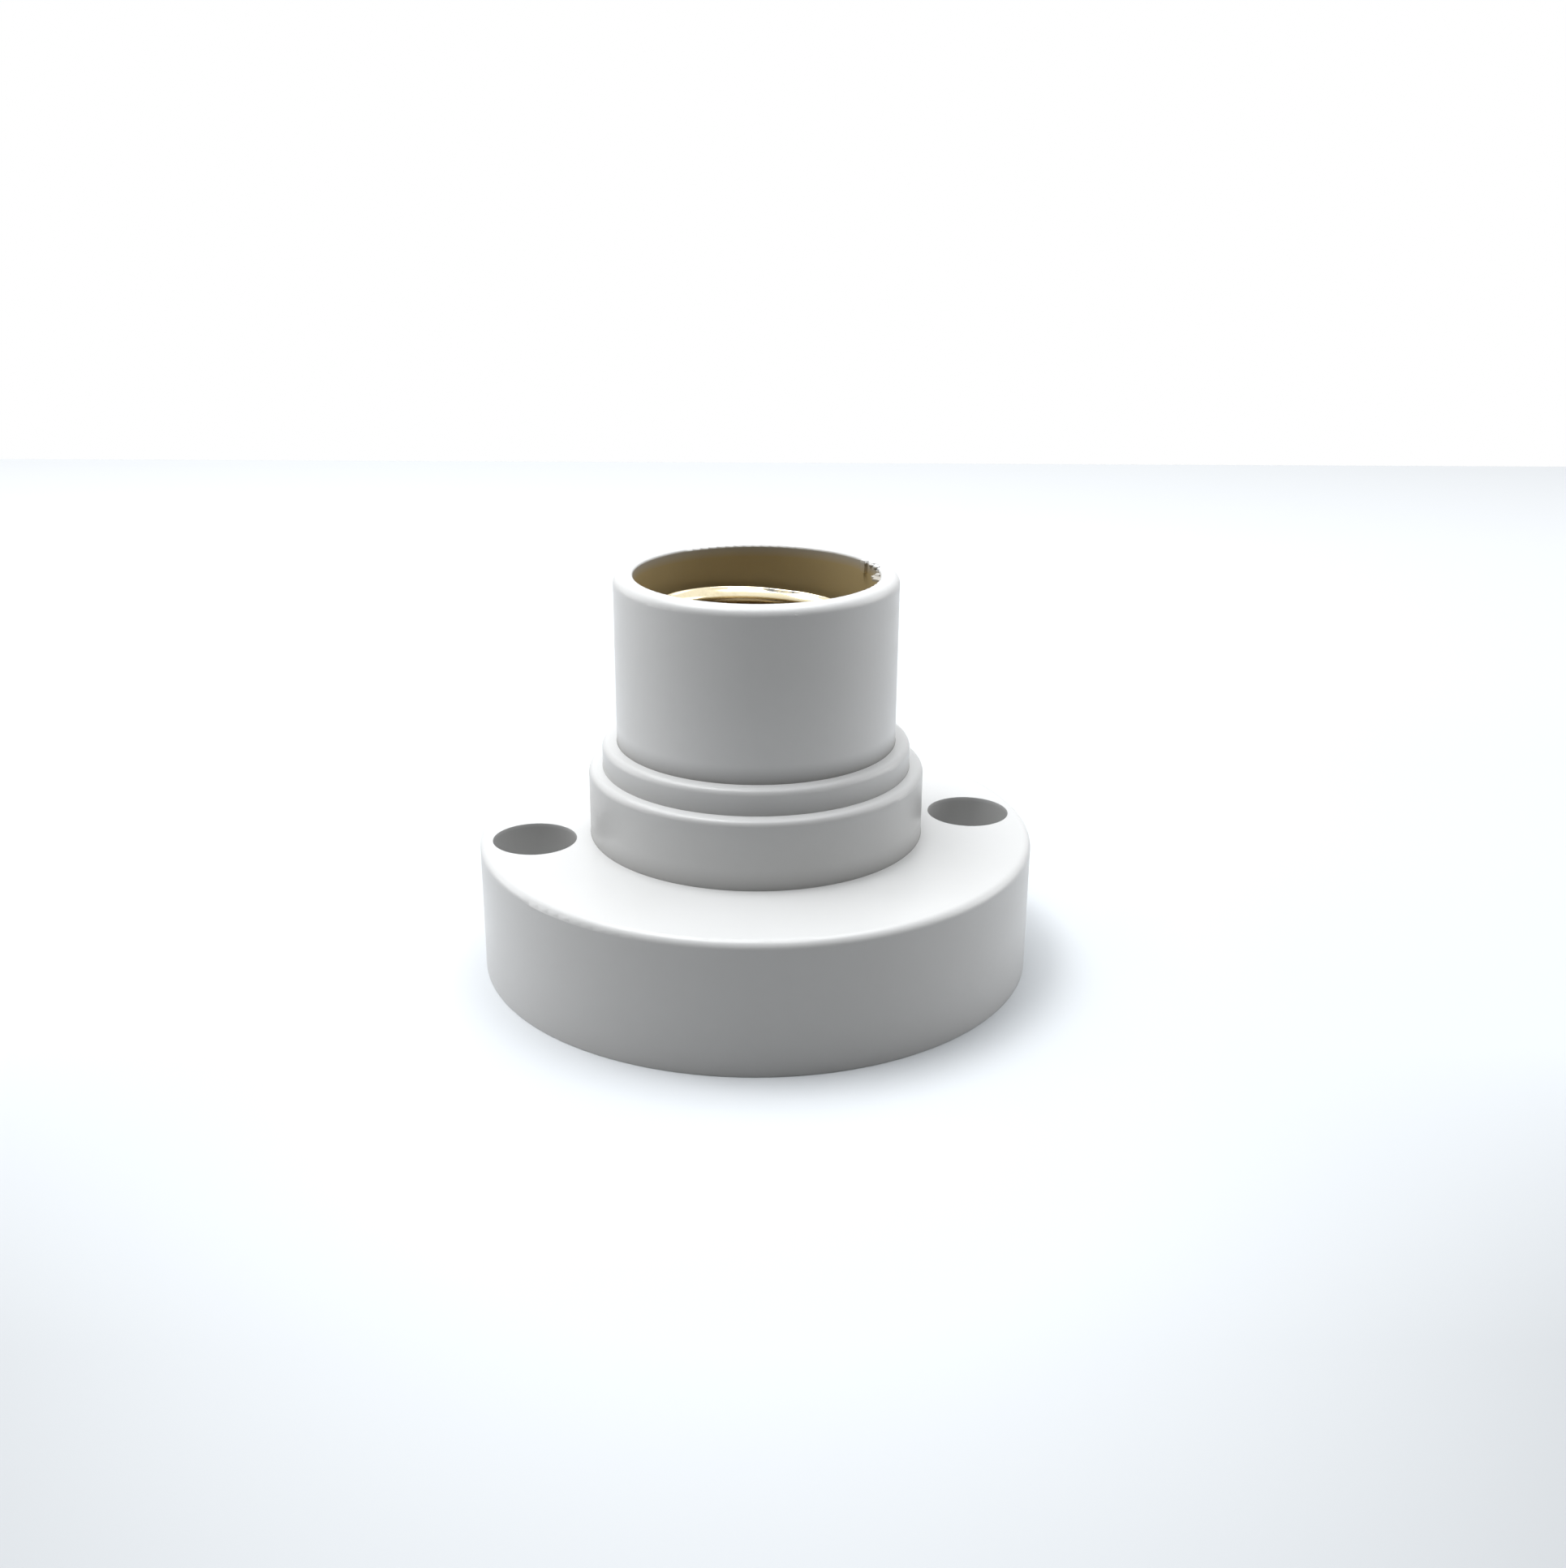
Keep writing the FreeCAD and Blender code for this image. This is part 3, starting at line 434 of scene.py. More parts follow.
def worked_metal_group():
    """Rolled or plated metal: drawn streaks, stains and fine scratches."""
    tree, have, give = start_group(
        "worked_metal",
        [
            ("Colour", "NodeSocketColor", (0.8, 0.7, 0.4, 1)),
            ("Stain", "NodeSocketColor", (0.5, 0.35, 0.15, 1)),
            ("Stain Amount", "NodeSocketFloat", 0.3),
            ("Roughness", "NodeSocketFloat", 0.2),
            ("Streak", "NodeSocketVector", (300.0, 300.0, 2500.0)),
            ("Streak Amount", "NodeSocketFloat", 0.1),
        ],
        SKIN_OUTPUTS,
    )
    place = node(tree, "ShaderNodeTexCoord").outputs["Object"]
    stretched = node(tree, "ShaderNodeMapping", Vector=place, Scale=have.outputs["Streak"]).outputs[0]
    streak = noise(tree, stretched, scale=1.0, detail=4.0, roughness=0.7)
    stain = noise(tree, place, scale=240.0, detail=5.0, roughness=0.6)
    fine = noise(tree, place, scale=2600.0, detail=2.0, roughness=0.5)
    patches = times(tree, remap(tree, stain, 0.48, 0.68), have.outputs["Stain Amount"])
    tone = blend_colours(tree, patches, have.outputs["Colour"], have.outputs["Stain"])
    swing = times(tree, minus(tree, streak, 0.5), have.outputs["Streak Amount"])
    rough = plus(tree, have.outputs["Roughness"], swing)
    rough = plus(tree, rough, times(tree, patches, 0.25), clamp=True)
    height = plus(tree, times(tree, streak, 0.6), times(tree, fine, 0.3))
    tree.links.new(tone, give.inputs["Colour"])
    tree.links.new(rough, give.inputs["Roughness"])
    tree.links.new(height, give.inputs["Height"])
    return tree


def group(name, make):
    """The named node group, made the first time it is asked for."""
    return bpy.data.node_groups.get(name) or make()


# the housing's steps and holes, which its painted shade follows
BASE_HEIGHT = 18.3 * MM
COLLAR_RADIUS, COLLAR_HEIGHT = 22.9 * MM, 27.8 * MM
RING_RADIUS, RING_HEIGHT = 21.0 * MM, 31.3 * MM
BARREL_RADIUS = 19.0 * MM
BORE_EDGE = 16.55 * MM
WELL_OFFSET, WELL_EDGE = 30.6 * MM, 5.8 * MM

# painted shade on the housing's walls over their inner corners, the first row over the whole collar
# wall: radius and height of an inner corner, the shade's reach, the wall's height and the shade's
# strength
CORNER_PAINTED_SHADE = (
    (COLLAR_RADIUS, BASE_HEIGHT, 40.0 * MM, COLLAR_HEIGHT - BASE_HEIGHT, 0.44),
    (COLLAR_RADIUS, BASE_HEIGHT, 3.0 * MM, COLLAR_HEIGHT - BASE_HEIGHT, 0.6),
    (RING_RADIUS, COLLAR_HEIGHT, 5.0 * MM, RING_HEIGHT - COLLAR_HEIGHT, 0.58),
    (BARREL_RADIUS, RING_HEIGHT, 2.6 * MM, 5.0 * MM, 0.9),
)
# painted shade inside the bore and the wells, brown deeper in the bore for the brass's reflected light:
# centre and radius of a hole, where its tone starts, the depth at which it is full, and its colour
HOLE_PAINTED_SHADE = (
    (0.0, BORE_EDGE, HOUSING_HIGH.z - 0.05 * MM, 0.35 * MM, "bore_painted_shade"),
    (0.0, BORE_EDGE, HOUSING_HIGH.z - 0.2 * MM, 1.5 * MM, "bore_painted_brown_shade"),
    (WELL_OFFSET, WELL_EDGE, BASE_HEIGHT - 0.1 * MM, 0.5 * MM, "well_painted_shade"),
    (-WELL_OFFSET, WELL_EDGE, BASE_HEIGHT - 0.1 * MM, 0.5 * MM, "well_painted_shade"),
)


def opaque(rgb):
    """A colour with full alpha."""
    return (rgb[0], rgb[1], rgb[2], 1.0)


def new_material(name):
    """An empty material with a Principled shader on its output."""
    made = bpy.data.materials.new(name)
    made.use_nodes = True
    tree = made.node_tree
    tree.nodes.clear()
    shader = tree.nodes.new("ShaderNodeBsdfPrincipled")
    out = tree.nodes.new("ShaderNodeOutputMaterial")
    tree.links.new(shader.outputs[0], out.inputs["Surface"])
    return made, tree, shader


def skin(tree, shader, maker, bump, edge_round=0.0, **inputs):
    """Place a surface group in a material and join it to the shader."""
    placed = node(tree, "ShaderNodeGroup", {"node_tree": maker}, **inputs)
    lift = node(tree, "ShaderNodeBump", Strength=1.0, Distance=bump, Height=placed.outputs["Height"])
    if edge_round:
        worn = node(tree, "ShaderNodeBevel", {"samples": 6}, Radius=edge_round)
        tree.links.new(worn.outputs[0], lift.inputs["Normal"])
    tree.links.new(placed.outputs["Colour"], shader.inputs["Base Color"])
    tree.links.new(placed.outputs["Roughness"], shader.inputs["Roughness"])
    tree.links.new(lift.outputs[0], shader.inputs["Normal"])
    return placed


PLASTIC_IOR = 1.5


def plastic(name, tone, shade, shade_amount, rough, bump):
    """A moulded plastic."""
    made, tree, shader = new_material(name)
    placed = skin(
        tree, shader, group("moulded_skin", moulded_skin_group), bump,
        Colour=opaque(tone), Shade=opaque(shade), Shade_Amount=shade_amount, Roughness=rough,
        Rub=0.12,
    )
    shader.inputs["IOR"].default_value = PLASTIC_IOR
    return made, tree, shader, placed


def ring_shade(tree, **inputs):
    """The ring_shade group placed in a material."""
    rings = group("ring_shade", ring_shade_group)
    return node(tree, "ShaderNodeGroup", {"node_tree": rings}, **inputs)


def housing_plastic(name, tones):
    """The housing's plastic, with painted shade over its inner corners and in its wells and bore, the
    bore painted brown deeper in for the brass's reflected light.
    """
    made, tree, shader, placed = plastic(
        name, tones.white, tones.white_deep, shade_amount=0.25, rough=0.32, bump=0.05 * MM
    )
    tone = placed.outputs["Colour"]
    # painted shade over the walls above the housing's inner corners
    for radius, height, reach, wall, amount in CORNER_PAINTED_SHADE:
        ring = ring_shade(tree, Radius=radius, Height=height, Reach=reach, Wall=wall)
        share = times(tree, ring.outputs["Corner"], amount)
        tone = blend_colours(tree, share, tone, opaque(tones.painted_corner_shade))
    # painted shade inside the bore and the wells
    for x, radius, height, reach, key in HOLE_PAINTED_SHADE:
        ring = ring_shade(tree, Centre=(x, 0.0, 0.0), Radius=radius, Height=height, Reach=reach)
        tone = blend_colours(tree, ring.outputs["Inside"], tone, opaque(getattr(tones, key)))
    tree.links.new(tone, shader.inputs["Base Color"])
    return made


# a metal's two colours, how stained and rough it is, its bump, its streaks and its edges' rounding
Metal = namedtuple("Metal", "tone stain stain_amount rough bump streak streak_amount edge_round")

EVEN = (900.0, 900.0, 900.0)
DRAWN = (120.0, 1800.0, 120.0)
METALS = {
    "brass": Metal("brass", "brass_dull", 0.3, 0.17, 0.008 * MM, (160.0, 160.0, 2200.0), 0.1, 0.0),
    "brass_strip": Metal("brass", "brass_dull", 0.3, 0.3, 0.01 * MM, DRAWN, 0.2, 0.12 * MM),
    "brass_rivet": Metal("rivet", "brass_dull", 0.4, 0.28, 0.01 * MM, EVEN, 0.2, 0.08 * MM),
    "spring_bronze": Metal("bronze", "brass_dull", 0.3, 0.26, 0.01 * MM, DRAWN, 0.2, 0.0),
    "nickel_contact": Metal("nickel", "brass_dull", 0.15, 0.3, 0.01 * MM, EVEN, 0.2, 0.0),
    "zinc_steel": Metal(
        "zinc", "zinc_dull", 0.35, 0.3, 0.012 * MM, (700.0, 700.0, 700.0), 0.25, 0.08 * MM
    ),
}


def metal(name, tones, worked):
    """A rolled, drawn or plated metal."""
    made, tree, shader = new_material(name)
    placed = skin(
        tree, shader, group("worked_metal", worked_metal_group), worked.bump, worked.edge_round,
        Colour=opaque(getattr(tones, worked.tone)), Stain=opaque(getattr(tones, worked.stain)),
        Stain_Amount=worked.stain_amount, Roughness=worked.rough,
        Streak=worked.streak, Streak_Amount=worked.streak_amount,
    )
    shader.inputs["Metallic"].default_value = 1.0
    return made, tree, shader, placed


def lip_painted_reflection(tree, turned, half_turn, foot):
    """A mask for the painted grey streak of shade and reflection along the shell's lip, about one turn
    and over one height.
    """
    place = node(tree, "ShaderNodeTexCoord").outputs["Object"]
    parts = node(tree, "ShaderNodeSeparateXYZ", i0=place)
    turn = maths(tree, "ARCTAN2", parts.outputs["Y"], parts.outputs["X"])
    aside = maths(tree, "ABSOLUTE", minus(tree, turn, turned))
    along = remap(tree, aside, half_turn - math.radians(5.0), half_turn, 1.0, 0.0)
    above = minus(tree, parts.outputs["Z"], foot)
    painted_reflection = times(tree, along, remap(tree, above, 0.0, 0.2 * MM))
    blot = remap(tree, noise(tree, place, scale=900.0, detail=2.0, roughness=0.5), 0.35, 0.6, 0.25, 0.9)
    return times(tree, painted_reflection, blot)


def shell_brass(name, tones):
    """The screw shell's brass: bright at the lip, tarnished and darkened with painted shade further in,
    with a painted streak of shade and reflection on the lip.
    """
    tarnish_and_shade_top, tarnish_and_shade_reach = SHELL_HIGH.z - 1.2 * MM, 1.2 * MM
    tarnish_and_shade_strength, tarnish_roughness = 0.85, 0.12
    reflection_foot, reflection_half_turn = SHELL_HIGH.z - 1.05 * MM, math.radians(13.0)
    made, tree, shader, placed = metal(name, tones, METALS["brass"])
    # tarnish and painted shade deepening into the shell
    inside = ring_shade(tree, Radius=20.0 * MM, Height=tarnish_and_shade_top, Reach=tarnish_and_shade_reach)
    share = times(tree, inside.outputs["Inside"], tarnish_and_shade_strength)
    tone = blend_colours(tree, share, placed.outputs["Colour"], opaque(tones.tarnish_and_shade))
    dent_turn = bpy.context.scene.holder_shell.dent_turn
    # painted grey streak of shade and reflection along the lip
    painted_reflection = lip_painted_reflection(tree, dent_turn, reflection_half_turn, reflection_foot)
    tone = blend_colours(tree, painted_reflection, tone, opaque(tones.painted_reflection))
    tree.links.new(tone, shader.inputs["Base Color"])
    duller = times(tree, share, tarnish_roughness)
    rough = plus(tree, placed.outputs["Roughness"], duller, clamp=True)
    tree.links.new(rough, shader.inputs["Roughness"])
    return made


def make_finish(name):
    """A new material for one of the holder's finishes."""
    tones = bpy.context.scene.holder_finish
    made_name = name + "_finish"
    if name == "white_plastic":
        return housing_plastic(made_name, tones)
    if name == "block_plastic":
        return plastic(
            made_name, tones.block, tones.white_deep, shade_amount=0.35, rough=0.55, bump=0.06 * MM
        )[0]
    if name == "brass":
        return shell_brass(made_name, tones)
    return metal(made_name, tones, METALS[name])[0]


FINISHES = {}


def finish(name):
    """One of the holder's finishes, made the first time it is asked for."""
    if name not in FINISHES:
        FINISHES[name] = make_finish(name)
    return FINISHES[name]


# -------------------------------------------------------------- the pieces

NODE_FINISHES = {
    "housing": "white_plastic",
    "contact_block": "block_plastic",
    "block_screws": "zinc_steel",
    "shell_rivets": "brass_rivet",
    "contact_button": "nickel_contact",
    "line_terminal": "brass_strip",
    "line_rivet": "brass_rivet",
    "neutral_terminal": "brass_strip",
    "neutral_rivet": "brass_rivet",
    "line_washer": "zinc_steel",
    "neutral_washer": "zinc_steel",
}


def dress(node_name, finish_name):
    """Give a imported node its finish."""
    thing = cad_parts[node_name]
    thing.data.materials.clear()
    thing.data.materials.append(finish(finish_name))
    return thing


def lip_height(sizes, turn):
    """Height of the shell's lip, which was trimmed a little aslant."""
    return SHELL_HIGH.z + sizes.lip_slant * math.cos(turn - sizes.lip_slant_turn)


LIP_OPENING = 0.6  # how far the lip opens, as a share of the way from a crest to a root
DENT_HEIGHT = 0.6 * MM


def thread_reach(sizes, z, turn):
    """How far the shell's inner face stands from the axis at a height and turn."""
    lip = lip_height(sizes, turn)
    middle = (sizes.crest + sizes.root) / 2
    swing = (sizes.root - sizes.crest) / 2
    foot = SHELL_LOW.z + sizes.plain_foot
    crest_z = SHELL_HIGH.z - sizes.crest_depth
    phase = math.tau * (z - crest_z) / sizes.pitch - (turn - sizes.crest_turn)
    threaded = middle - swing * math.cos(phase)
    started = ease((z - foot) / sizes.run_in)
    plain = sizes.crest + (threaded - sizes.crest) * started
    ended = ease((z - (lip - sizes.lead_in)) / sizes.lead_in)
    reach = plain + (sizes.root - plain) * ended * LIP_OPENING
    aside = (turn - sizes.dent_turn + math.pi) % math.tau - math.pi
    beside = ease(1 - abs(aside) / sizes.dent_width)
    over_foot = ease((z - (lip - DENT_HEIGHT)) / DENT_HEIGHT)
    return reach - sizes.dent * (beside * over_foot)


def tabbed_hole(radius, tabs, steps=10):
    """Outline of a round hole with square tabs that reach into it; tabs are (turn, width, reach)."""
    outline = []
    half_angle = [math.asin(width / 2 / radius) for _, width, _ in tabs]
    for i, (turn, width, reach) in enumerate(tabs):
        along = Vector((math.cos(turn), math.sin(turn)))
        side = Vector((-math.sin(turn), math.cos(turn)))
        far = math.sqrt(radius**2 - (width / 2) ** 2)
        for out, across in ((far, -1), (reach, -1), (reach, 1), (far, 1)):
            outline.append(tuple(along * out + side * (across * width / 2)))
        following = (i + 1) % len(tabs)
        first = turn + half_angle[i]
        last = tabs[following][0] - half_angle[following]
        if last < first:
            last += math.tau
        for step in range(1, steps):
            a = first + (last - first) * step / steps
            outline.append((radius * math.cos(a), radius * math.sin(a)))
    return outline


def circle_outline(x, y, radius, segments=32):
    """Outline of a round hole."""
    turns = [math.tau * i / segments for i in range(segments)]
    return [(x + radius * math.cos(turn), y + radius * math.sin(turn)) for turn in turns]


FLOOR_REACH = 4.2 * MM  # how far in the shell's floor is swept before its hole is cut
LIVE_TAB = (5.0 * MM, 4.7 * MM)  # width and reach of the tabs in the floor hole
FIXING_TAB = (5.0 * MM, 7.4 * MM)
FLOOR_PINS = ((6.8 * MM, 0.0), (0.0, 9.5 * MM), (0.0, -9.5 * MM))
FLOOR_PIN_RADIUS = 1.0 * MM


def roll_shell(sizes):
    """The brass screw shell: a cup with a rolled thread, a plain lip and a tabbed floor hole."""
    low = SHELL_LOW.z
    rise = 0.22 * MM
    wall_foot = low + sizes.corner
    edge = sizes.sheet / 2
    count = int((SHELL_HIGH.z - edge - wall_foot) / rise)
    shares = [i / count for i in range(count + 1)]

    # the section is given by labels, so that each face follows the thread at its own turn
    section = [("outer", share) for share in shares[:-1]]
    section += [("lip", a) for a in range(0, 181, 30)]
    section += [("inner", share) for share in reversed(shares[:-1])]
    corner_centre = (sizes.sheet - sizes.corner, wall_foot)
    inner_corner = quarter(corner_centre, sizes.corner - sizes.sheet, 0, -90)
    outer_corner = quarter(corner_centre, sizes.corner, -90, 0)
    section += [("corner", point) for point in inner_corner[1:]]
    section += [("floor", low + sizes.sheet), ("floor", low)]
    section += [("corner", point) for point in outer_corner[:-1]]

    def place(kind, given, turn):
        lip = lip_height(sizes, turn)
        if kind in ("outer", "inner"):
            z = wall_foot + (lip - edge - wall_foot) * given
            thickness = sizes.sheet if kind == "outer" else 0.0
            return around_axis(thread_reach(sizes, z, turn) + thickness, z, turn)
        if kind == "lip":
            a = math.radians(given)
            reach = thread_reach(sizes, lip - edge, turn) + edge
            return around_axis(reach + edge * math.cos(a), lip - edge + edge * math.sin(a), turn)
        if kind == "corner":
            return around_axis(sizes.crest + given[0], given[1], turn)
        return around_axis(FLOOR_REACH, given, turn)

    segments = 216
    verts, faces = lathe(section, segments, place)
    shell = new_piece("screw_shell_rolled", verts, faces, finish("brass"))
    tidy_mesh(shell)
    tabs = [(0.0, *LIVE_TAB), (math.pi / 2, *FIXING_TAB), (math.pi * 3 / 2, *FIXING_TAB)]
    clear = 1.0 * MM
    cut_away(shell, tabbed_hole(sizes.floor_hole, tabs), low - clear, low + clear)
    for x, y in FLOOR_PINS:
        cut_away(shell, circle_outline(x, y, FLOOR_PIN_RADIUS), low - clear, low + clear)
    shade_by_angle(shell, 40)
    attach(shell, "holder")
    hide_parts("screw_shell")
    return shell


# the torn gate's lumps on the rim: turn in degrees, radius, height, and half sizes along, across and up
GATE_LUMPS = (
    (15.0, 16.40 * MM, 54.00 * MM, 0.60 * MM, 0.40 * MM, 0.38 * MM),
    (9.5, 16.55 * MM, 53.95 * MM, 0.45 * MM, 0.40 * MM, 0.30 * MM),
    (4.5, 16.75 * MM, 54.05 * MM, 0.75 * MM, 0.45 * MM, 0.32 * MM),
    (-1.5, 16.85 * MM, 54.05 * MM, 0.55 * MM, 0.55 * MM, 0.36 * MM),
    (-7.0, 16.25 * MM, 53.80 * MM, 0.60 * MM, 0.50 * MM, 0.16 * MM),
    (-13.0, 15.95 * MM, 53.68 * MM, 0.70 * MM, 0.45 * MM, 0.10 * MM),
    (-85.0, 18.85 * MM, 53.25 * MM, 0.32 * MM, 0.16 * MM, 0.20 * MM),
)
GATE_RAGGED = 0.38  # how far the noise swells or pinches a lump
GATE_GRAIN = 1.9
GATE_APART = 4000  # moves each lump to its own part of the noise


def tear_gate():
    """Small torn lumps of plastic on the rim, where the gate broke off."""
    mesh = bmesh.new()
    for turn_degrees, r, z, along, across, up in GATE_LUMPS:
        turn = math.radians(turn_degrees)
        side = Vector((-math.sin(turn), math.cos(turn), 0))
        outward = Vector((math.cos(turn), math.sin(turn), 0))
        centre = Vector(around_axis(r, z, turn))
        made = bmesh.ops.create_icosphere(mesh, subdivisions=3, radius=1.0)
        for vert in made["verts"]:
            ragged = 1 + GATE_RAGGED * noise_value(vert.co * GATE_GRAIN + centre * GATE_APART)
            sized = Vector((vert.co.x * along, vert.co.y * across, vert.co.z * up)) * ragged
            vert.co = centre + side * sized.x + outward * sized.y + Vector((0, 0, sized.z))
    data = bpy.data.meshes.new("rim_burr")
    mesh.to_mesh(data)
    mesh.free()
    burr = bpy.data.objects.new("rim_burr", data)
    bpy.context.scene.collection.objects.link(burr)
    burr.data.materials.append(finish("white_plastic"))
    burr.data.shade_smooth()
    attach(burr, "holder")
    return burr


LEAF_HALF_SHEET = 0.2 * MM
LEAF_PAD_HEIGHT = 29.2 * MM
LEAF_PAD_HALF = 2.0 * MM
LEAF_TIP = (3.2 * MM, LEAF_PAD_HEIGHT - 0.9 * MM)
LEAF_ROOT_END = -0.6 * MM
LEAF_BEND_X = -5.2 * MM
LEAF_BEND_RADIUS = 1.1 * MM
LEAF_TIP_TAPER = 0.12
LEAF_ROOT_HOLE = (-2.6 * MM, 1.0 * MM)  # place along the leaf, and radius
LEAF_PAD_HOLE = (0.0, 0.95 * MM)


def stretch(first, last, steps):
    """The points that divide a straight line evenly, without its first."""
    return [
        (first[0] + (last[0] - first[0]) * i / steps, first[1] + (last[1] - first[1]) * i / steps)
        for i in range(1, steps + 1)
    ]


def leaf_line():
    """The leaf's middle line in the XZ plane: root, hairpin, ramp, pad and turned-down tip."""
    root_z = LEAF_LOW.z + LEAF_HALF_SHEET
    root = (LEAF_ROOT_END, root_z)
    line = [root] + stretch(root, (LEAF_BEND_X, root_z), 8)
    hairpin_centre = (LEAF_BEND_X, root_z + LEAF_BEND_RADIUS)
    line += quarter(hairpin_centre, LEAF_BEND_RADIUS, -90, -245, 18)[1:]
    line += stretch(line[-1], (-LEAF_PAD_HALF, LEAF_PAD_HEIGHT), 6)
    line += stretch(line[-1], (LEAF_PAD_HALF, LEAF_PAD_HEIGHT), 8)
    return line + stretch(line[-1], LEAF_TIP, 3)


def bend_leaf():
    """The hairpin leaf under the contact button, built in its rest shape; the real leaf flattens as the
    button is pressed.
    """
    line = leaf_line()
    half_width = (LEAF_HIGH.y - LEAF_LOW.y) / 2
    rounding = 0.12 * MM
    section = []
    for across, up, first in ((1, 1, 0), (-1, 1, 90), (-1, -1, 180), (1, -1, 270)):
        centre = (across * (half_width - rounding), up * (LEAF_HALF_SHEET - rounding))
        section += quarter(centre, rounding, first, first + 90, 3)
    verts = []
    for i, (x, z) in enumerate(line):
        before, after = line[max(i - 1, 0)], line[min(i + 1, len(line) - 1)]
        heading = Vector((after[0] - before[0], after[1] - before[1])).normalized()
        normal = Vector((-heading.y, heading.x))
        taper = 1.0 if i < len(line) - 3 else 1.0 - LEAF_TIP_TAPER * (i - len(line) + 3)
        verts += [(x + normal.x * up, across * taper, z + normal.y * up) for across, up in section]
    count = len(section)
    faces = [tuple(reversed(range(count)))]
    for i in range(len(line) - 1):
        for k in range(count):
            m = (k + 1) % count
            faces.append((i * count + k, i * count + m, (i + 1) * count + m, (i + 1) * count + k))
    faces.append(tuple(range((len(line) - 1) * count, len(line) * count)))
    leaf = new_piece("centre_contact_leaf", verts, faces, finish("spring_bronze"))
    tidy_mesh(leaf)
    clear = 0.8 * MM
    for (x, radius), z in ((LEAF_ROOT_HOLE, LEAF_LOW.z), (LEAF_PAD_HOLE, LEAF_PAD_HEIGHT)):
        cut_away(leaf, circle_outline(x, 0.0, radius), z - clear, z + clear)
    shade_by_angle(leaf, 40)
    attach(leaf, "holder")
    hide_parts("centre_contact_spring")
    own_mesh(leaf)
    return leaf


SCREW_HEAD_HEIGHT = 2.2 * MM
SCREW_HEAD_ROUNDING = 0.4 * MM
SCREW_HEAD_CHAMFER = 0.1 * MM
SCREW_POINT = 0.5 * MM  # length of the plain point
SCREW_CORE = 0.02 * MM  # radius at which the swept section stops short of the axis
SCREW_TIP_SHARE = 0.62  # radius of the tip, as a share of the thread's crest
SLOT_HALF_WIDTH = 0.4 * MM
SLOT_DEPTH = 1.1 * MM


def cut_clamp_screw(node_name, body):
    """A cheese-head clamp screw with a cut thread and a driver slot."""
    low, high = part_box(node_name)
    x = (low.x + high.x) / 2
    head, seat, tip = low.z, low.z + SCREW_HEAD_HEIGHT, high.z
    crest, depth, pitch = 1.75 * MM, 0.32 * MM, 0.6 * MM
    head_radius = (high.y - low.y) / 2
    round_centre = (head_radius - SCREW_HEAD_ROUNDING, head + SCREW_HEAD_ROUNDING)
    plain = quarter(round_centre, SCREW_HEAD_ROUNDING, -90, 0, 5)
    plain += [(head_radius, seat - SCREW_HEAD_CHAMFER), (head_radius - SCREW_HEAD_CHAMFER, seat)]
    plain.append((crest - depth, seat))
    section = [("plain", point) for point in plain]
    steps = 8
    count = int((tip - seat - SCREW_POINT) / pitch * steps)
    section += [("thread", seat + i * pitch / steps) for i in range(1, count + 1)]
    last = seat + count * pitch / steps
    end = ((crest * SCREW_TIP_SHARE, tip), (SCREW_CORE, tip), (SCREW_CORE, head))
    section += [("plain", point) for point in end]

    def place(kind, given, turn):
        if kind == "plain":
            r, z = given
        else:
            z = given
            wave = abs(((z - seat) / pitch - turn / math.tau) % 1.0 - 0.5) * 2
            run = min(ease((z - seat) / pitch), ease((last + pitch / 2 - z) / pitch))
            r = crest - depth + depth * wave * run
        return (x + r * math.cos(turn), r * math.sin(turn), z)

    verts, faces = lathe(section, 40, place)
    screw = new_piece(node_name + "_cut", verts, faces, finish("zinc_steel"))
    tidy_mesh(screw)
    half, past = SLOT_HALF_WIDTH, head_radius * 1.3
    slot = [(x - past, -half), (x + past, -half), (x + past, half), (x - past, half)]
    cut_away(screw, slot, head - MM, head + SLOT_DEPTH)
    shade_by_angle(screw, 38)
    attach(screw, body)
    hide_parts(node_name)
    return screw


# ------------------------------------------------------------------- stage

Lamp = namedtuple("Lamp", "name turn rise distance width height power tint")

# turn is measured as the camera's is: 0 stands in front, 90 to the right, 180 behind
LAMPS = (
    Lamp("top_panel", -168.0, 80.0, 0.80, 0.70, 0.70, 6.7, (0.965, 0.985, 1.0)),
    Lamp("high_left_panel", -90.0, 66.0, 0.80, 0.42, 0.42, 2.4, (1.0, 1.0, 1.0)),
    Lamp("left_panel", -103.0, 10.0, 0.80, 0.60, 0.40, 1.3, (1.0, 1.0, 1.0)),
    Lamp("under_panel", 0.0, -86.0, 0.60, 0.50, 0.50, 2.6, (1.0, 1.0, 1.0)),
    Lamp("right_panel", 102.0, 16.0, 0.80, 0.60, 0.45, 1.65, (1.0, 1.0, 1.0)),
)


def hang_lamp(lamp, camera_turn):
    """An area lamp that looks at the holder from its place round it."""
    light = bpy.data.lights.new(lamp.name, "AREA")
    light.shape = "RECTANGLE"
    light.size = lamp.width
    light.size_y = lamp.height
    light.energy = lamp.power
    light.color = lamp.tint
    hung = bpy.data.objects.new(lamp.name, light)
    bpy.context.scene.collection.objects.link(hung)
    turn = math.radians(lamp.turn) + camera_turn
    rise = math.radians(lamp.rise)
    level = math.cos(rise)
    away = Vector((math.sin(turn) * level, -math.cos(turn) * level, math.sin(rise)))
    aim = Vector((0, 0, HOUSING_HIGH.z / 2))
    hung.location = aim + away * lamp.distance
    hung.rotation_mode = "QUATERNION"
    hung.rotation_quaternion = (-away).to_track_quat("-Z", "Y")
    return hung


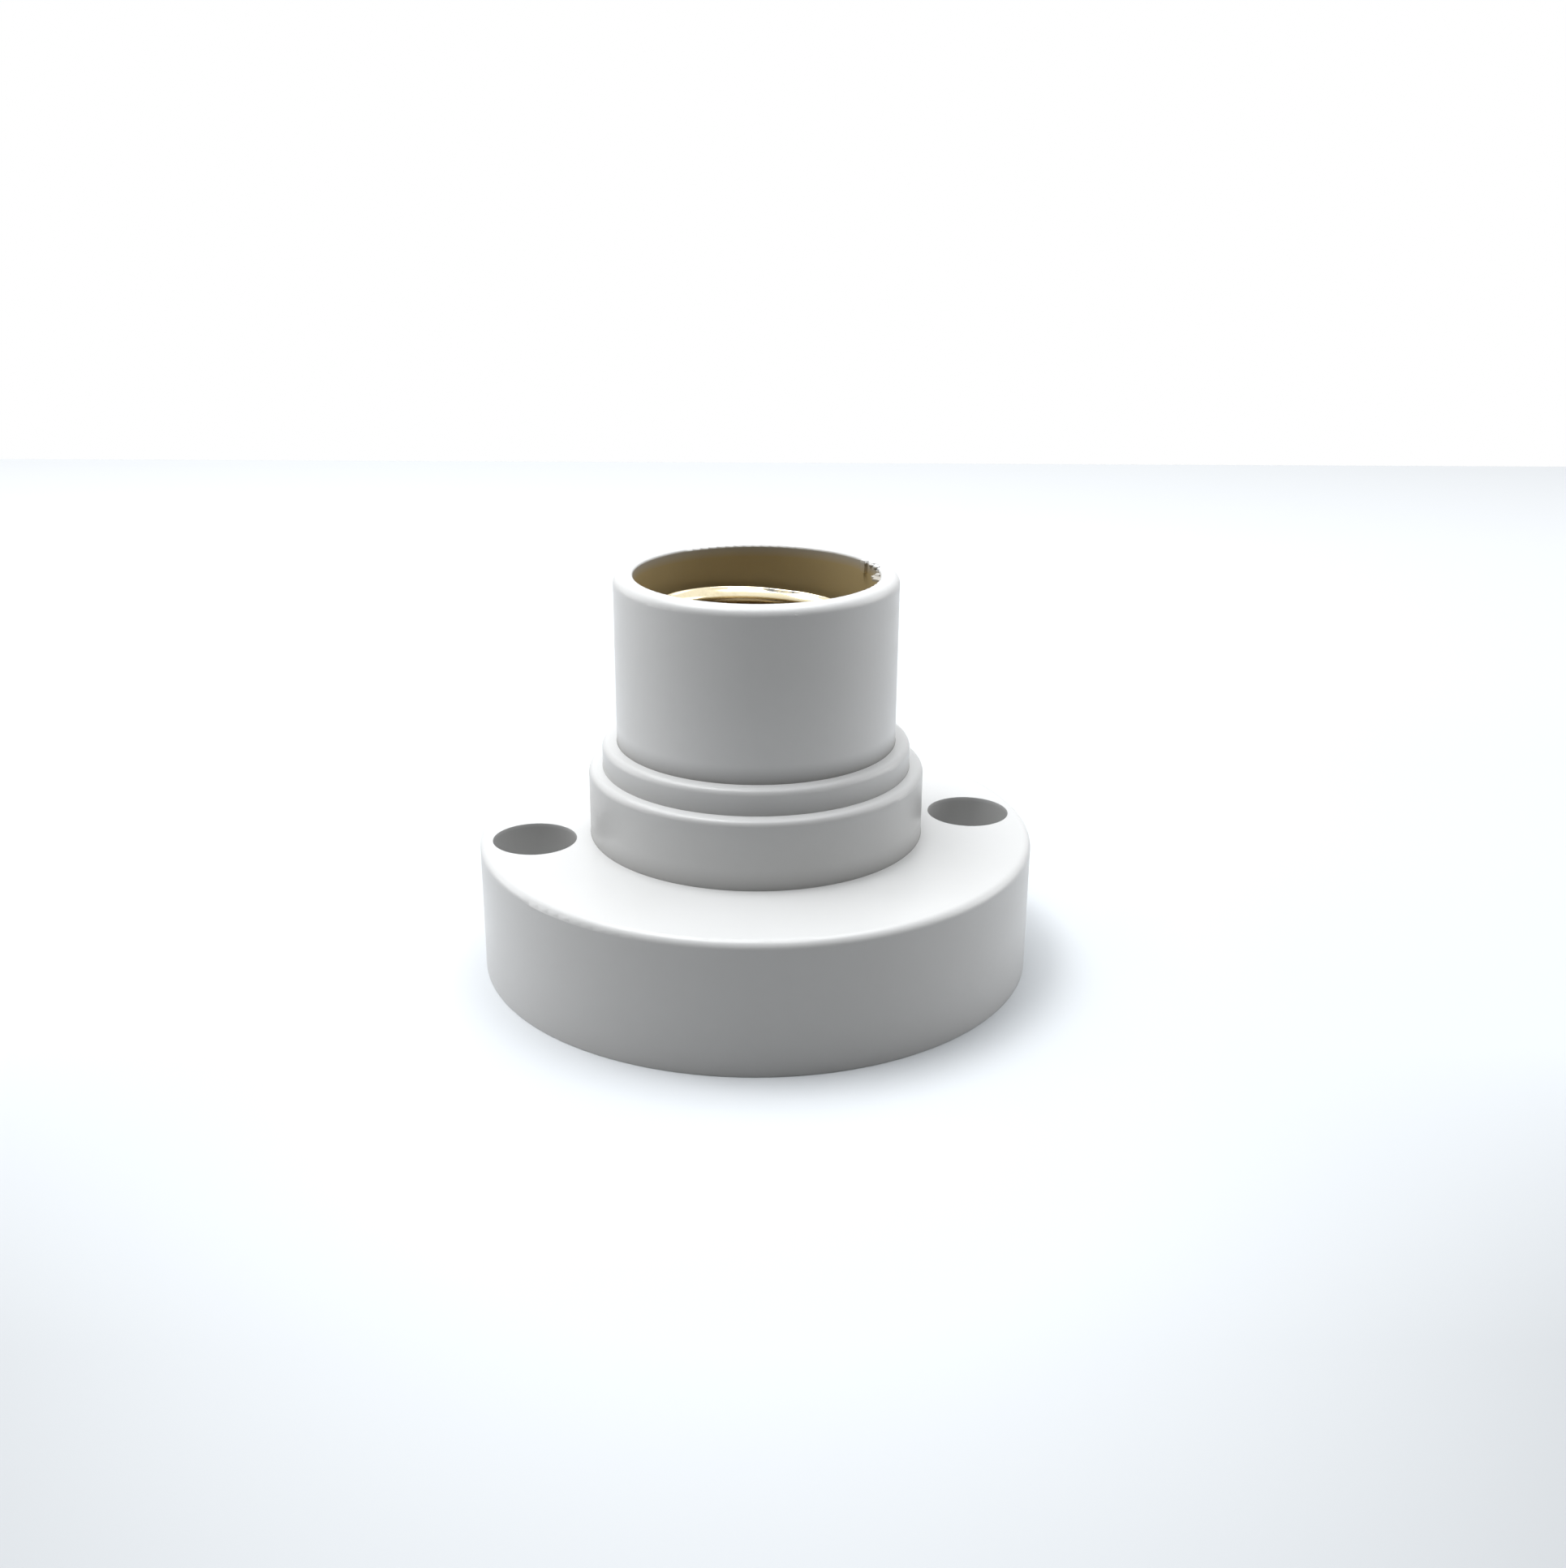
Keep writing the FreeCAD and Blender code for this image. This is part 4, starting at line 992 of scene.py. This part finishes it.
def set_camera(sizes):
    """The camera, from its distance, height, turn, pitch, yaw and roll."""
    data = bpy.data.cameras.new("view_camera")
    data.sensor_fit = "HORIZONTAL"
    data.sensor_width = SENSOR_WIDTH
    data.lens = sizes.focal
    data.clip_start = 0.01
    data.clip_end = 20.0
    camera = bpy.data.objects.new("view_camera", data)
    bpy.context.scene.collection.objects.link(camera)
    look = Vector((
        math.sin(sizes.yaw) * math.cos(sizes.pitch),
        math.cos(sizes.yaw) * math.cos(sizes.pitch),
        -math.sin(sizes.pitch),
    ))
    level = look.cross(Vector((0, 0, 1))).normalized()
    upright = level.cross(look)
    c, s = math.cos(sizes.roll), math.sin(sizes.roll)
    right = level * c + upright * s
    up = upright * c - level * s
    axes = Matrix((right, up, -look)).transposed().to_4x4()
    axes.translation = Vector((0, -sizes.distance, sizes.height))
    camera.matrix_world = Matrix.Rotation(sizes.turn, 4, "Z") @ axes
    bpy.context.scene.camera = camera
    return camera


TABLE_DROP = 0.05 * MM  # keeps the table's face clear of the holder's foot
TABLE_OPENING = 37.6 * MM  # hidden under the base
THROWN_SIDES, THROWN_FRONT = 0.52, 0.42  # greys of the light that the table throws back


def table_tone(tree, place, tones):
    """The table top's colour, with painted shade in its near corners and painted light at its far edge.
    """
    # the distances over which each change of tone runs
    corners, in_front, behind = (90 * MM, 160 * MM), (30 * MM, 90 * MM), (80 * MM, 260 * MM)
    cloth = noise(tree, place, scale=6.0, detail=2.0, roughness=0.5)
    tone = blend_colours(tree, cloth, opaque(tones.tone), opaque(tones.tone_light))
    parts = node(tree, "ShaderNodeSeparateXYZ", i0=place)
    ahead = times(tree, parts.outputs["Y"], -1.0)
    out = hypotenuse(tree, ahead, times(tree, parts.outputs["X"], 1.6))
    # painted shade in the near corners
    painted_near_shade = times(tree, remap(tree, out, *corners), remap(tree, ahead, *in_front))
    tone = blend_colours(tree, painted_near_shade, tone, opaque(tones.tone_near_painted_shade))
    # painted light towards the far edge
    far_share = remap(tree, parts.outputs["Y"], *behind)
    return blend_colours(tree, far_share, tone, opaque(tones.tone_far_painted_light))


def table_throw(tree, place):
    """The calmer colour that the holder is lit by: darker in front of it than beside it."""
    heading = vector_maths(tree, "NORMALIZE", i0=place).outputs[0]
    front = vector_maths(tree, "DOT_PRODUCT", i0=heading, i1=(0, -1, 0)).outputs["Value"]
    sides, ahead = opaque((THROWN_SIDES,) * 3), opaque((THROWN_FRONT,) * 3)
    return blend_colours(tree, remap(tree, front, -0.1, 0.8), sides, ahead)


def floor_material(tones):
    """Pale table top: one colour for the camera, and a calmer one for the light it throws."""
    made, tree, shader = new_material("pale_table")
    place = node(tree, "ShaderNodeTexCoord").outputs["Object"]
    seen = node(tree, "ShaderNodeLightPath")
    share = plus(tree, seen.outputs["Is Camera Ray"], seen.outputs["Is Glossy Ray"], clamp=True)
    base = blend_colours(tree, share, table_throw(tree, place), table_tone(tree, place, tones))
    tree.links.new(base, shader.inputs["Base Color"])
    shader.inputs["Roughness"].default_value = 0.9
    shader.inputs["Specular IOR Level"].default_value = 0.0
    # clear to a view from below, and open under the holder, so that its underside is lit and seen
    below = node(tree, "ShaderNodeNewGeometry").outputs["Backfacing"]
    looked = times(tree, below, seen.outputs["Is Camera Ray"])
    off_axis = vector_maths(tree, "LENGTH", i0=place).outputs["Value"]
    opened = maths(tree, "MAXIMUM", looked, maths(tree, "LESS_THAN", off_axis, TABLE_OPENING))
    clear = node(tree, "ShaderNodeBsdfTransparent")
    both = node(tree, "ShaderNodeMixShader", i0=opened, i1=shader.outputs[0], i2=clear.outputs[0])
    out = tree.get_output_node("ALL")
    tree.links.new(both.outputs[0], out.inputs["Surface"])
    return made


def lay_table(camera_turn, tones):
    """A table top whose rounded far edge stands behind the holder."""
    near, far, side, corner = -0.6, 0.385, 0.95, 0.45
    outline = [(-side, near), (side, near)]
    for centre_x, first in ((side - corner, 0), (-side + corner, 90)):
        outline += quarter((centre_x, far - corner), corner, first, first + 90, 24)
    verts = [(x, y, -TABLE_DROP) for x, y in outline]
    faces = [tuple(range(len(verts)))]
    table = new_piece("table_top", verts, faces, floor_material(tones), smooth=False)
    table.rotation_euler.z = camera_turn
    return table


def light_sky():
    """White for the camera and for mirror and glass rays, with almost no light of its own."""
    sky = bpy.data.worlds.new("studio_sky")
    sky.use_nodes = True
    tree = sky.node_tree
    tree.nodes.clear()
    seen = node(tree, "ShaderNodeLightPath")
    glint = plus(tree, seen.outputs["Is Glossy Ray"], seen.outputs["Is Transmission Ray"], clamp=True)
    direct = plus(tree, seen.outputs["Is Camera Ray"], glint, clamp=True)
    dim = node(tree, "ShaderNodeBackground", Color=(0.95, 0.97, 1.0, 1), Strength=0.01)
    white = node(tree, "ShaderNodeBackground", Color=(1, 1, 1, 1), Strength=1.0)
    both = node(tree, "ShaderNodeMixShader", i0=direct, i1=dim.outputs[0], i2=white.outputs[0])
    out = tree.nodes.new("ShaderNodeOutputWorld")
    tree.links.new(both.outputs[0], out.inputs["Surface"])
    bpy.context.scene.world = sky


# --------------------------------------------------------------- operators


class HOLDER_OT_dress_nodes(bpy.types.Operator):
    """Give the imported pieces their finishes"""

    bl_idname = "holder.dress_nodes"
    bl_label = "Dress packed pieces"

    def execute(self, context):
        for node_name, finish_name in NODE_FINISHES.items():
            dress(node_name, finish_name)
        return {"FINISHED"}


class HOLDER_OT_roll_shell(bpy.types.Operator):
    """Roll the brass screw shell"""

    bl_idname = "holder.roll_shell"
    bl_label = "Roll screw shell"

    def execute(self, context):
        roll_shell(context.scene.holder_shell)
        return {"FINISHED"}


class HOLDER_OT_tear_gate(bpy.types.Operator):
    """Add the torn gate's lumps to the rim"""

    bl_idname = "holder.tear_gate"
    bl_label = "Tear gate"

    def execute(self, context):
        tear_gate()
        return {"FINISHED"}


class HOLDER_OT_bend_leaf(bpy.types.Operator):
    """Bend the centre contact's leaf"""

    bl_idname = "holder.bend_leaf"
    bl_label = "Bend contact leaf"

    def execute(self, context):
        bend_leaf()
        return {"FINISHED"}


class HOLDER_OT_cut_screws(bpy.types.Operator):
    """Cut the two clamp screws"""

    bl_idname = "holder.cut_screws"
    bl_label = "Cut clamp screws"

    def execute(self, context):
        for side in ("line", "neutral"):
            cut_clamp_screw(side + "_screw", side + "_screw")
        return {"FINISHED"}


class HOLDER_OT_set_stage(bpy.types.Operator):
    """Set the table, the light and the camera"""

    bl_idname = "holder.set_stage"
    bl_label = "Set stage"

    def execute(self, context):
        sizes = context.scene.holder_stage
        lay_table(sizes.turn, context.scene.holder_table)
        light_sky()
        for lamp in LAMPS:
            hang_lamp(lamp, sizes.turn)
        set_camera(sizes)
        context.scene.view_settings.view_transform = "Standard"
        return {"FINISHED"}


OPERATORS = (
    HOLDER_OT_dress_nodes,
    HOLDER_OT_roll_shell,
    HOLDER_OT_tear_gate,
    HOLDER_OT_bend_leaf,
    HOLDER_OT_cut_screws,
    HOLDER_OT_set_stage,
)


class HOLDER_PT_panel(bpy.types.Panel):
    """Sizes, colours and steps of the lamp holder"""

    bl_label = "Lamp Holder"
    bl_idname = "HOLDER_PT_panel"
    bl_space_type = "VIEW_3D"
    bl_region_type = "UI"
    bl_category = "Lamp Holder"

    def draw(self, context):
        for key, sizes in SHOWN_SIZES:
            box = self.layout.box()
            for prop in sizes.__annotations__:
                box.prop(getattr(context.scene, key), prop)
        for step in OPERATORS:
            self.layout.operator(step.bl_idname)


def register():
    for key, sizes in SHOWN_SIZES:
        bpy.utils.register_class(sizes)
        setattr(bpy.types.Scene, key, bpy.props.PointerProperty(type=sizes))
    for part in (*OPERATORS, HOLDER_PT_panel):
        bpy.utils.register_class(part)


def unregister():
    for part in reversed((*OPERATORS, HOLDER_PT_panel)):
        bpy.utils.unregister_class(part)
    for key, sizes in reversed(SHOWN_SIZES):
        delattr(bpy.types.Scene, key)
        bpy.utils.unregister_class(sizes)


def main():
    """Dress the holder and set the stage."""
    register()
    bpy.ops.holder.dress_nodes()
    bpy.ops.holder.roll_shell()
    bpy.ops.holder.tear_gate()
    bpy.ops.holder.bend_leaf()
    bpy.ops.holder.cut_screws()
    bpy.ops.holder.set_stage()


if __name__ == "__main__":
    main()
